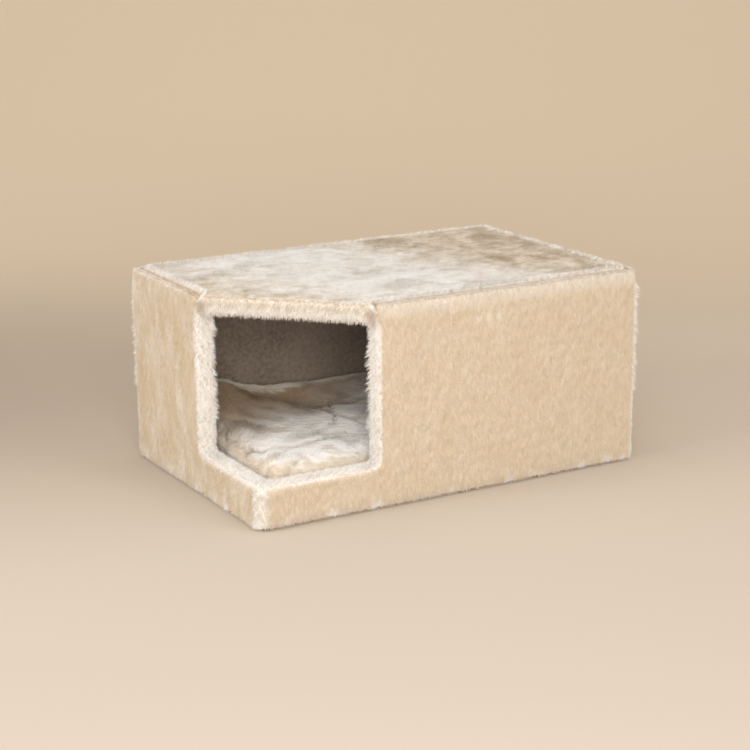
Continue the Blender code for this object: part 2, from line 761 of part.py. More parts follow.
def add_pad_surface(bm, form, inset, low):
    """Adds the pad's top and sides down to low, and returns the vertices of its bottom rim in order."""
    grid = []
    for j in range(PAD_CELLS_Y + 1):
        row = []
        for i in range(PAD_CELLS_X + 1):
            x, y = form.place(2 * i / PAD_CELLS_X - 1, 2 * j / PAD_CELLS_Y - 1, inset)
            row.append(bm.verts.new((x, y, form.height(x, y) - inset)))
        grid.append(row)
    for lower, upper in zip(grid, grid[1:]):
        for i in range(PAD_CELLS_X):
            bm.faces.new((lower[i], lower[i + 1], upper[i + 1], upper[i]))
    edge = grid[0][:-1] + [row[-1] for row in grid[:-1]] + grid[-1][:0:-1] + [row[0] for row in grid[:0:-1]]
    rim = [bm.verts.new((vertex.co.x, vertex.co.y, low)) for vertex in edge]
    for i in range(len(edge)):
        j = (i + 1) % len(edge)
        bm.faces.new((edge[i], rim[i], rim[j], edge[j]))
    return rim


def make_pad(cover_surface, cloth_surface, wadding_surface):
    form = PadForm()
    cloth_top = CABIN_FLOOR + PAD_BASE_CLOTH
    cover_low = cloth_top + GAP
    bm = bmesh.new()
    outer = add_pad_surface(bm, form, 0.0, cover_low)
    inner = add_pad_surface(bm, form, PAD_COVER, cover_low)
    for i in range(len(outer)):
        j = (i + 1) % len(outer)
        bm.faces.new((outer[i], outer[j], inner[j], inner[i]))
    outline = [(vertex.co.x, vertex.co.y) for vertex in outer]
    cover = add_object("pad_cover", mesh_from(bm, "pad_cover"), cover_surface)
    cover.data.shade_smooth()

    bm = bmesh.new()
    rim = add_pad_surface(bm, form, PAD_COVER + GAP, cover_low)
    bm.faces.new(rim)
    add_object("pad_filling", mesh_from(bm, "pad_filling"), wadding_surface)
    add_object("pad_base", prism_mesh("pad_base", outline, upright, CABIN_FLOOR, cloth_top), cloth_surface)


def main():
    clear_scene()
    plush = material("cream_plush", CREAM, 0.95)
    felt = material("brown_felt", FELT_BROWN, 0.95)
    chipboard = material("chipboard", CHIPBOARD, 0.75)
    cloth = material("pad_cloth", CLOTH, 0.9)
    wadding = material("wadding", WADDING, 1.0)
    steel = material("zinc_plated_steel", STEEL, 0.35, 1.0)
    boards = make_boards(chipboard)
    make_screws(boards, steel)
    panels = make_side_panels(plush)
    make_top_plush(plush)
    make_staples(panels, boards["base_board"], steel)
    make_linings(felt)
    make_pad(plush, cloth, wadding)


main()
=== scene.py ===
"""Looks of the corner cat house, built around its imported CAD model."""
import math

import bmesh
import bpy
import numpy as np
from mathutils import Matrix, Vector
from mathutils.bvhtree import BVHTree


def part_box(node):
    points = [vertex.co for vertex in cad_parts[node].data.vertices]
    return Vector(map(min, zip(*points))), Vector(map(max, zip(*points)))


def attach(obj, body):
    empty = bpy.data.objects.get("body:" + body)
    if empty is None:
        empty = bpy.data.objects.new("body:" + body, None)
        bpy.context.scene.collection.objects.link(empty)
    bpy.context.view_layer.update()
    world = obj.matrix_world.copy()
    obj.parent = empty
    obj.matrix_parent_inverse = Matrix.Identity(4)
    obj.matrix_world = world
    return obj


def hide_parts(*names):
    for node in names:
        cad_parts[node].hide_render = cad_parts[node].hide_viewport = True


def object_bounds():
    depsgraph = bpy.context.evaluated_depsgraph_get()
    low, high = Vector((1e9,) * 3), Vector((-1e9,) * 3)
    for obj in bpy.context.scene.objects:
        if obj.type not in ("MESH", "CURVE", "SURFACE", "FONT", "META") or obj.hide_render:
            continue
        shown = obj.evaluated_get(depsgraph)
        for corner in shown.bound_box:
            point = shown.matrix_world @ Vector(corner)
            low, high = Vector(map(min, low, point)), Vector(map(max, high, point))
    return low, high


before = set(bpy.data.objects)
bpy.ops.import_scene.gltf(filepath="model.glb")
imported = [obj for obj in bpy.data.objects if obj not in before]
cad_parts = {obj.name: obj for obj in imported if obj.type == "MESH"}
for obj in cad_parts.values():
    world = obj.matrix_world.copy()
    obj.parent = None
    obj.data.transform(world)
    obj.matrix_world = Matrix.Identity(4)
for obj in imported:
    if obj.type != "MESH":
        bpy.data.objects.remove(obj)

CAD_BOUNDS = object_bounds()
LOW, HIGH = (np.array(corner) for corner in CAD_BOUNDS)

BOARDS = ("base_board", "back_board", "right_end_board", "left_end_board", "front_board", "top_board")
LININGS = ("back_lining", "right_lining", "front_lining", "left_lining", "ceiling_lining", "floor_lining")
SIDE_COVERS = ("front_plush", "left_plush", "back_plush", "right_plush")
COVERS = SIDE_COVERS + ("top_plush",)
PAD_NODES = ("pad_cover", "pad_filling", "pad_base")

# Camera, solved from the outline and the doorway's edges in the photograph
CAMERA_PLACE = (-1.38959, -2.39888, 0.88749)
CAMERA_RIGHT = (0.866441, -0.49921, -0.008334)
CAMERA_DOWN = (-0.138389, -0.224086, -0.964694)
CAMERA_FORWARD = (0.479718, 0.837003, -0.263242)
CAMERA_REACH = 20.0
LENS_MM = 90.698
SENSOR_MM = 36.0

# Meshes made from the CAD solids
WELD = 1e-6
PANEL_OVERLAP = 0.0012
COVER_VOXEL = 0.0032
COVER_SMOOTHINGS = 24
HIDDEN_WITHIN = 0.006
LEAST_HEIGHT = 0.0004
THINNING_DEGREES = 3

# Skin of the sewn plush cover, with a seam round the top and a welt inside the seam
SKIN_SINK = 0.0028
SKIN_LUMPS = 0.0003
SKIN_LUMP_SIZE = 0.015
# The skin takes this much of the root colour: painted shade under the strands
SKIN_TIP = 0.35
SEAM_PLACE = 0.0012
SEAM_WIDTH = 0.0036
SEAM_DEPTH = 0.0038
SEAM_PARTING = 0.006
SEAM_WANDER = 0.0012
SEAM_WANDER_SIZE = 0.012
SEAM_FADE = (0.006, 0.020)
SEAM_FADED = 0.012
NO_SEAM = 1.0
WELT_RISE = 0.0012
WELT_PLACE = 0.0075
WELT_WIDTH = 0.0045
CREVICE_SHARE = 0.35
HEM_FACING = -0.6
HEM_HEIGHT = 0.02

# Strands of pile. STRAND_WIDTHS and STRAND_THICKNESS are shares of the width, and leans are in radians.
STRANDS_PER_M2 = 420e3
STRANDS_PER_PIECE = 48000
STRAND_LENGTH = 0.0072
STRAND_WIDTH = 0.0010
STRAND_WIDTHS = (0.7, 1.3)
STRAND_THICKNESS = 0.7
STRAND_SINK = 0.0008
SMOOTH_SHARE = 0.93
FLUFFY_SMOOTH_SHARE = 0.50
FLAT_LEAN = 1.22
FLUFFY_LEAN = 0.55
LEAN_SPREAD = 0.04
STRAY = 0.03

# Pad
PAD_VOXEL = 0.006
PAD_SMOOTHINGS = 3
PAD_DRAW_IN = 0.0022
PAD_GROWTH = 0.004
PAD_PRESSURE = 4.0
PAD_FRAMES = 20
PAD_SWELL_CAP = 0.008
PAD_CLEAR = 0.0015
PAD_EDGE_ROLL = 0.030
PAD_HELD_FACING = (0.2, 0.7)
PAD_UPPER_FACING = (-0.2, 0.3)
PAD_BASE_FACING = -0.5
PAD_CREASE_DEPTH = 0.0040
PAD_LUMPS = 0.0007
PAD_LUMP_SIZE = 0.06
PAD_LENGTHS = (0.75, 1.2)
PAD_SIDE_LENGTH = 0.7
PAD_TOP_MORE = 0.3
PAD_TOP_FACING = (0.0, 0.6)

# Colours, linear
WARM = (0.735, 0.62, 0.46)
# Whitish: fluffed-up pile, and painted sheen and highlights where the pile catches the light
PALE_AND_SHEEN = (0.98, 0.965, 0.945)
# Painted shade: the darker beige of pile that shows no sheen, and of the pad's rear under the roof
PAINTED_SHADE_BEIGE = (0.50, 0.415, 0.315)
# Painted shade between the strands, at their roots and on the skin under them
ROOT_SHADE_TAN = (0.71, 0.51, 0.31)
# Painted shade in the seam's trough, the doorway's upper corners, along the floor, and in the pad's creases
# and rear
DEEP_SHADE_BROWN = (0.42, 0.28, 0.17)
SHEEN_TINT = (1.0, 0.955, 0.89, 1.0)
FELT_LIGHT = (0.42, 0.33, 0.26)
FELT_DARK = (0.15, 0.11, 0.082)
FLAKE_DARK = (0.36, 0.23, 0.12)
FLAKE_LIGHT = (0.62, 0.46, 0.28)
FLAKE_GRAIN = (0.70, 0.55, 0.36)
ZINC_DARK = (0.50, 0.50, 0.50)
ZINC_LIGHT = (0.68, 0.67, 0.63)
# Painted shade: the floor is darker towards the camera than round the house
FLOOR_SHADED_FRONT = (0.65, 0.555, 0.465)
FLOOR_COLOUR = (0.705, 0.61, 0.505)
BACKDROP_COLOUR = (0.82, 0.675, 0.50)
PAINTED_SHADOW_COLOUR = (0.40, 0.33, 0.26)

# Sweep of paper under and behind the house. A fade is where one colour gives way to the next. The shade is a
# painted shadow: a soft darker spot, and its fade is by the distance from its place.
SWEEP_RADIUS = 1.6
SWEEP_FRONT = -4.0
SWEEP_BEHIND = 1.0
SWEEP_HALF_WIDTH = 5.0
SWEEP_HEIGHT = 4.0
SWEEP_STEPS = 24
FLOOR_FADE = (-1.1, -0.2)
BACKDROP_FADE = (0.2, 2.0)
PAINTED_SHADOW_PLACE = (-0.85, 0.4, 0.0)
PAINTED_SHADOW_FADE = (0.1, 1.1)
PAINTED_SHADOW_SHARE = 0.62

# Lamps: metres to the right of the house and beyond it, as the camera sees it, and up; size and watts
LAMPS = {
    "front_box": {"right": 0.1, "beyond": -2.5, "up": 0.85, "size": 1.1, "power": 32.0},
    "left_box": {"right": -2.0, "beyond": -1.2, "up": 1.3, "size": 1.1, "power": 17.0},
    "right_box": {"right": 1.9, "beyond": -1.4, "up": 1.5, "size": 1.1, "power": 9.0},
    "top_box": {"right": 0.0, "beyond": 0.2, "up": 2.4, "size": 1.4, "power": 5.0},
}
LAMP_TARGET = (0, 0, 0.12)
LAMP_COLOUR = (1.0, 0.98, 0.95)
STUDIO_COLOUR = (1.0, 0.97, 0.94, 1.0)
STUDIO_STRENGTH = 0.57

# Noise
TINY = 1e-12
WAVE_COUNT = 14
WAVE_SPREAD = (0.6, 1.5)
WAVE_DAMPING = 1.6
CLOUD_BEND = 0.4
CLOUD_LAYERS = ((1, 1.0), (2.3, 0.5), (5, 0.3))

SEED = 7


def unit(vectors):
    return vectors / np.maximum(np.linalg.norm(vectors, axis=-1, keepdims=True), TINY)


def ramp(value, start, end):
    """0 before start, 1 after end, smooth between them."""
    share = np.clip((value - start) / (end - start), 0.0, 1.0)
    return share * share * (3 - 2 * share)


def rise(value, level, start, end):
    """A ramp whose start and end are given from a level."""
    return ramp(value, level + start, level + end)


def bell(value, width):
    """1 at zero, fading out over the width on both sides."""
    return np.exp(-((value / width) ** 2))


def mixed(first, second, share):
    """first where share is 0, second where it is 1."""
    return first * (1 - share) + second * share


def waves(points, size, seed):
    """Smooth noise of about -1 to 1 over the points, with features of the given size in metres."""
    made = np.random.default_rng(seed)
    directions = unit(made.normal(size=(WAVE_COUNT, 3)))
    pitches = 2 * math.pi / size * made.uniform(*WAVE_SPREAD, WAVE_COUNT)
    phases = made.uniform(0, 2 * math.pi, WAVE_COUNT)
    total = np.zeros(len(points))
    for direction, pitch, phase in zip(directions, pitches, phases):
        total += np.cos(points @ direction * pitch + phase)
    return total * math.sqrt(2 / WAVE_COUNT) / WAVE_DAMPING


def drift(points, size, seed):
    """A vector of smooth noise at each point."""
    return np.stack([waves(points, size, seed + axis) for axis in range(3)], 1)


def level_drift(points, size, seed):
    """The same with no height."""
    return np.stack([waves(points, size, seed), waves(points, size, seed + 1), 0 * points[:, 0]], 1)


def drawn_out(points, along, stretch):
    """The points squeezed along a direction, so that noise over them is that much longer that way."""
    along = unit(np.array(along, float))
    return points - along * (points @ along)[:, None] * (1 - 1 / stretch)


def clouds(points, size, seed):
    """Smooth noise with finer noise on it, its features bent by a slower one. Takes six seeds."""
    bent = points + CLOUD_BEND * size * drift(points, 2 * size, seed)
    layers = enumerate(CLOUD_LAYERS, start=seed + 3)
    return sum(weight * waves(bent, size / finer, layer_seed) for layer_seed, (finer, weight) in layers)


def along_cloth(field, normals):
    """The directions of a field, laid into the cloth that the normals stand on."""
    return unit(field - normals * (field * normals).sum(1)[:, None])


def near_line(points, line, width):
    """1 on a line drawn in plan, fading out over the width."""
    line = np.array(line)
    near = np.zeros(len(points))
    for start, end in zip(line[:-1], line[1:]):
        way = end - start
        share = np.clip((points[:, :2] - start) @ way / (way @ way), 0, 1)
        off = np.linalg.norm(points[:, :2] - start - share[:, None] * way, axis=1)
        near = np.maximum(near, bell(off, width))
    return near


class Surface:
    """A material with one Principled shader, and short ways to add nodes to it."""

    def __init__(self, name, **sockets):
        self.material = bpy.data.materials.new(name)
        self.material.use_nodes = True
        self.tree = self.material.node_tree
        self.shader = self.tree.nodes["Principled BSDF"]
        for socket, value in sockets.items():
            self.shader.inputs[socket.replace("_", " ")].default_value = value
        self.place = self.add("ShaderNodeTexCoord").outputs["Object"]

    def add(self, kind, inputs=(), **settings):
        node = self.tree.nodes.new(kind)
        for key, value in settings.items():
            setattr(node, key, value)
        for key, value in dict(inputs).items():
            if isinstance(value, bpy.types.NodeSocket):
                self.tree.links.new(value, node.inputs[key])
            else:
                node.inputs[key].default_value = value
        return node

    def noise(self, scale, detail, stretch=(1, 1, 1), roughness=0.5):
        where = self.add("ShaderNodeMapping", {"Vector": self.place, "Scale": stretch})
        inputs = {"Vector": where.outputs[0], "Scale": scale, "Detail": detail, "Roughness": roughness}
        return self.add("ShaderNodeTexNoise", inputs).outputs[0]

    def cells(self, scale):
        return self.add("ShaderNodeTexVoronoi", {"Vector": self.place, "Scale": scale}).outputs["Distance"]

    def attribute(self, name):
        return self.add("ShaderNodeAttribute", attribute_name=name).outputs["Fac"]

    def math(self, operation, first, second, third=0.0, clamp=False):
        inputs = {0: first, 1: second, 2: third}
        return self.add("ShaderNodeMath", inputs, operation=operation, use_clamp=clamp).outputs[0]

    def line(self, value, slope, offset, clamp=False):
        """slope times the value, plus the offset."""
        return self.math("MULTIPLY_ADD", value, slope, offset, clamp)

    def varied(self, value, noise, span, clamp=False):
        """The value moved up and down by a noise of 0 to 1, over a span in all."""
        return self.math("ADD", value, self.line(noise, span, -span / 2), clamp=clamp)

    def steps(self, value, low, high, to_low=0.0, to_high=1.0):
        inputs = {"Value": value, "From Min": low, "From Max": high, "To Min": to_low, "To Max": to_high}
        return self.add("ShaderNodeMapRange", inputs, interpolation_type="SMOOTHSTEP").outputs[0]

    def blend(self, share, first, second, mode="MIX"):
        first, second = ((*c, 1.0) if isinstance(c, tuple) else c for c in (first, second))
        node = self.add("ShaderNodeMix", {0: share, 6: first, 7: second}, data_type="RGBA", blend_type=mode)
        return node.outputs[2]

    def colour(self, socket):
        self.tree.links.new(socket, self.shader.inputs["Base Color"])

    def sheen(self, socket):
        self.tree.links.new(socket, self.shader.inputs["Sheen Weight"])

    def bump(self, height, strength, distance):
        inputs = {"Height": height, "Strength": strength, "Distance": distance}
        self.tree.links.new(self.add("ShaderNodeBump", inputs).outputs[0], self.shader.inputs["Normal"])


def plush_material():
    """Cream plush. Its pieces carry tip, pale, dusk, deep and lot, each from 0 to 1, at every point."""
    surface = Surface("plush_look", Roughness=0.85, Specular_IOR_Level=0.2, Sheen_Roughness=0.4)
    surface.shader.inputs["Sheen Tint"].default_value = SHEEN_TINT
    patches = surface.noise(scale=24.0, detail=3.0)
    grain = surface.noise(scale=420.0, detail=2.0, stretch=(1, 1, 0.3))
    pale_and_sheen = surface.varied(surface.attribute("pale_and_sheen"), patches, span=0.2)
    pale_and_sheen = surface.varied(pale_and_sheen, grain, span=0.12, clamp=True)
    painted_shade, deep_shade = surface.attribute("painted_shade"), surface.attribute("deep_shade")
    # Warm cream, darkened by painted shade and whitened by painted sheen and fluffed-up pile
    colour = surface.blend(pale_and_sheen, surface.blend(painted_shade, WARM, PAINTED_SHADE_BEIGE), PALE_AND_SHEEN)
    colour = surface.blend(deep_shade, colour, DEEP_SHADE_BROWN)
    # Painted shade between the strands: each is darker toward its root, less so where the plush is whiter
    root = surface.blend(surface.math("MULTIPLY", pale_and_sheen, 0.7), ROOT_SHADE_TAN, PALE_AND_SHEEN)
    colour = surface.blend(surface.steps(surface.attribute("tip"), low=-0.2, high=0.75), root, colour)
    # Lightness strand by strand: uneven tone, with painted light and shade
    tone_and_light = surface.line(surface.attribute("tone_and_light"), slope=0.30, offset=0.78)
    shade = surface.add("ShaderNodeCombineColor", {0: tone_and_light, 1: tone_and_light, 2: tone_and_light}).outputs[0]
    surface.colour(surface.blend(1.0, colour, shade, "MULTIPLY"))
    sheen = surface.line(pale_and_sheen, slope=-0.40, offset=0.8)
    sheen = surface.line(painted_shade, slope=-0.4, offset=sheen)
    surface.sheen(surface.line(deep_shade, slope=-0.6, offset=sheen, clamp=True))
    return surface.material


def felt_material():
    """Dark grey-brown needle felt: mottled, with light and dark specks."""
    surface = Surface("brown_felt_look", Roughness=0.95, Sheen_Weight=0.3, Sheen_Roughness=0.5)
    fibres = surface.noise(scale=900.0, detail=3.0, roughness=0.7)
    mottle = surface.noise(scale=160.0, detail=3.0)
    cloud = surface.noise(scale=9.0, detail=2.0)
    mix = surface.line(fibres, slope=0.6, offset=surface.line(mottle, slope=0.5, offset=-0.1))
    colour = surface.blend(surface.steps(mix, low=0.25, high=0.75), FELT_DARK, FELT_LIGHT)
    surface.colour(surface.blend(surface.steps(cloud, low=0.3, high=0.7, to_high=0.35), colour, FELT_LIGHT))
    surface.bump(mix, strength=0.7, distance=0.0012)
    return surface.material


def chipboard_material():
    """Raw chipboard: pale and dark flakes pressed together."""
    surface = Surface("chipboard_look", Roughness=0.8)
    flakes = surface.cells(scale=260.0)
    grain = surface.noise(scale=120.0, detail=4.0, stretch=(1, 0.4, 1))
    colour = surface.blend(surface.steps(flakes, low=0.1, high=0.6), FLAKE_DARK, FLAKE_LIGHT)
    surface.colour(surface.blend(surface.steps(grain, low=0.3, high=0.75), colour, FLAKE_GRAIN))
    surface.bump(flakes, strength=0.3, distance=0.0005)
    return surface.material


def steel_material():
    """Zinc-plated steel of the screws and staples, slightly clouded."""
    surface = Surface("zinc_look", Roughness=0.35, Metallic=1.0)
    cloud = surface.noise(scale=700.0, detail=2.0)
    surface.colour(surface.blend(surface.steps(cloud, low=0.3, high=0.7), ZINC_DARK, ZINC_LIGHT))
    return surface.material


def add_object(name, mesh, material):
    obj = bpy.data.objects.new(name, mesh)
    bpy.context.scene.collection.objects.link(obj)
    mesh.materials.clear()
    mesh.materials.append(material)
    return obj


def welded(nodes):
    """A bmesh with the meshes of CAD nodes, their split vertices welded."""
    bm = bmesh.new()
    for node in nodes:
        bm.from_mesh(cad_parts[node].data)
    bmesh.ops.remove_doubles(bm, verts=bm.verts, dist=WELD)
    return bm


def tree_of(nodes):
    """The surface of CAD nodes, for finding what is near it."""
    bm = welded(nodes)
    tree = BVHTree.FromBMesh(bm)
    bm.free()
    return tree


def applied(rough):
    """The mesh that an object's modifiers make. The object goes."""
    made = bpy.data.meshes.new_from_object(rough.evaluated_get(bpy.context.evaluated_depsgraph_get()))
    bpy.data.objects.remove(rough, do_unlink=True)
    return made


def remeshed(name, nodes, voxel, smoothings, material):
    """One evenly divided closed mesh over the solids of the CAD nodes, its edges softened."""
    bm = welded(nodes)
    bm.normal_update()
    for vertex in bm.verts:
        vertex.co += vertex.normal * PANEL_OVERLAP
    mesh = bpy.data.meshes.new(name)
    bm.to_mesh(mesh)
    bm.free()
    rough = add_object(name + "_rough", mesh, material)
    remesh = rough.modifiers.new("Even", "REMESH")
    remesh.mode = "VOXEL"
    remesh.voxel_size = voxel
    soften = rough.modifiers.new("Soften", "SMOOTH")
    soften.iterations = smoothings
    made = applied(rough)
    made.shade_smooth()
    return add_object(name, made, material)


def read(mesh, kind, attribute, width):
    """An attribute of all of a mesh's vertices or faces as an array."""
    items = getattr(mesh, kind)
    values = np.empty(len(items) * width, np.float32)
    items.foreach_get(attribute, values)
    return values.astype(float).reshape(-1, width)


def corners_of(mesh):
    """The vertex at each corner of a mesh's faces, in one row."""
    corners = np.empty(len(mesh.loops), np.int32)
    mesh.loops.foreach_get("vertex_index", corners)
    return corners


def put(mesh, **values):
    """Stores named numbers on a mesh's vertices."""
    for name, numbers in values.items():
        made = mesh.attributes.new(name, "FLOAT", "POINT")
        made.data.foreach_set("value", np.clip(numbers, 0.0, 1.0).astype(np.float32))


def place_vertices(mesh, points):
    mesh.vertices.foreach_set("co", points.ravel())
    mesh.update()


def open_faces(mesh, neighbours):
    """Which faces of a mesh look at nothing close by."""
    centres = read(mesh, "polygons", "center", 3)
    normals = read(mesh, "polygons", "normal", 3)
    free = np.ones(len(centres), bool)
    for k, (centre, normal) in enumerate(zip(centres, normals)):
        free[k] = neighbours.ray_cast(Vector(centre), Vector(normal), HIDDEN_WITHIN)[0] is None
    return free


class Roots:
    """Random places on the given quads of a mesh, from which values at its vertices can be read."""

    def __init__(self, mesh, faces, per_m2, made):
        starts = np.empty(len(mesh.polygons), np.int32)
        mesh.polygons.foreach_get("loop_start", starts)
        areas = read(mesh, "polygons", "area", 1)[faces, 0]
        count = int(areas.sum() * per_m2)
        chosen = faces[made.choice(len(faces), count, p=areas / areas.sum())]
        self.corners = corners_of(mesh)[starts[chosen][:, None] + np.arange(4)]
        a, b = made.random((2, count, 1))
        self.shares = np.stack([(1 - a) * (1 - b), a * (1 - b), a * b, (1 - a) * b], 1)

    def of(self, values):
        """Values kept at the vertices, read at the roots."""
        values = values.reshape(len(values), -1)
        return (values[self.corners] * self.shares).sum(1)


class Strands:
    """Closed, tapering strands of pile: each has two corners and a back at its foot, and a tip.

    Where the pile lies flat, a strand's shading follows the cloth that it stands on more than its own sides.
    """

    sides = np.array([(0, 2, 1), (0, 3, 2), (2, 3, 1), (1, 3, 0)])
    tips = [0.0, 0.0, 0.15, 1.0]
    in_cell = np.array([(0.1, 0.1), (0.9, 0.1), (0.5, 0.3), (0.5, 0.9)])

    def __init__(self, roots, stand, lay, fluff, lengths, looks, made):
        count = len(roots)
        lean = FLAT_LEAN + (FLUFFY_LEAN - FLAT_LEAN) * fluff + LEAN_SPREAD * made.normal(size=count)
        stray = STRAY * made.normal(size=roots.shape)
        axes = unit(stand * np.cos(lean)[:, None] + lay * np.sin(lean)[:, None] + stray)
        widths = STRAND_WIDTH * made.uniform(*STRAND_WIDTHS, count)
        base = roots - STRAND_SINK * stand
        side = unit(np.cross(axes, stand)) * widths[:, None] / 2
        up = unit(np.cross(side, axes)) * widths[:, None] * STRAND_THICKNESS
        self.points = np.stack([base + side, base - side, base + up, base + axes * lengths[:, None]], 1)
        self.points[..., 2] = np.maximum(self.points[..., 2], LEAST_HEIGHT)
        start, end, third = (self.points[:, self.sides[:, k]] for k in range(3))
        own = unit(np.cross(end - start, third - start))
        smooth = (SMOOTH_SHARE + (FLUFFY_SMOOTH_SHARE - SMOOTH_SHARE) * np.clip(fluff, 0, 1))[:, None, None]
        self.shading = unit(stand[:, None, :] * smooth + own * (1 - smooth))
        self.looks = looks

    def pieces(self, name, chosen, material):
        """The chosen strands as objects of limited size."""
        parts = math.ceil(len(chosen) / STRANDS_PER_PIECE)
        return [self.piece(f"{name}_{k + 1}", chosen[k::parts], material) for k in range(parts)]

    def piece(self, name, chosen, material):
        count = len(chosen)
        corners = (np.arange(count)[:, None, None] * 4 + self.sides).reshape(-1)
        mesh = bpy.data.meshes.new(name)
        mesh.vertices.add(4 * count)
        mesh.vertices.foreach_set("co", self.points[chosen].ravel())
        mesh.loops.add(len(corners))
        mesh.loops.foreach_set("vertex_index", corners.astype(np.int32))
        mesh.polygons.add(len(corners) // 3)
        mesh.polygons.foreach_set("loop_start", np.arange(0, len(corners), 3, dtype=np.int32))
        mesh.update()
        mesh.shade_smooth()
        layer = mesh.attributes.new("custom_normal", "FLOAT_VECTOR", "FACE")
        layer.data.foreach_set("vector", self.shading[chosen].astype(np.float32).ravel())
        put(mesh, tip=np.tile(self.tips, count))
        put(mesh, **{look: np.repeat(values[chosen], 4) for look, values in self.looks.items()})
        self.unfold(mesh, count, corners)
        return add_object(name, mesh, material)

    def unfold(self, mesh, count, corners):
        """Gives each strand its own cell of the colour map."""
        cells = math.ceil(math.sqrt(count))
        index = np.arange(count)
        cell = np.stack([index % cells, index // cells], 1)[:, None, :]
        places = ((cell + self.in_cell) / cells).reshape(-1, 2)[corners]
        layer = mesh.uv_layers.new(name="OFBake")
        layer.data.foreach_set("uv", places.astype(np.float32).ravel())


class House:
    """Sizes of the house that its looks need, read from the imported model."""

    header_way = unit(np.array([-1.0, -1.0, 0.0]))
    wall = 0.032

    def __init__(self):
        top = read(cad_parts["top_plush"].data, "vertices", "co", 3)
        front = read(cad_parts["front_plush"].data, "vertices", "co", 3)
        self.leg = (top[:, 0] + top[:, 1]).min() - LOW[0] - LOW[1]
        self.sill_top = front[front[:, 0] < LOW[0] + self.wall, 2].max()
        self.header_foot = top[:, 2].min()


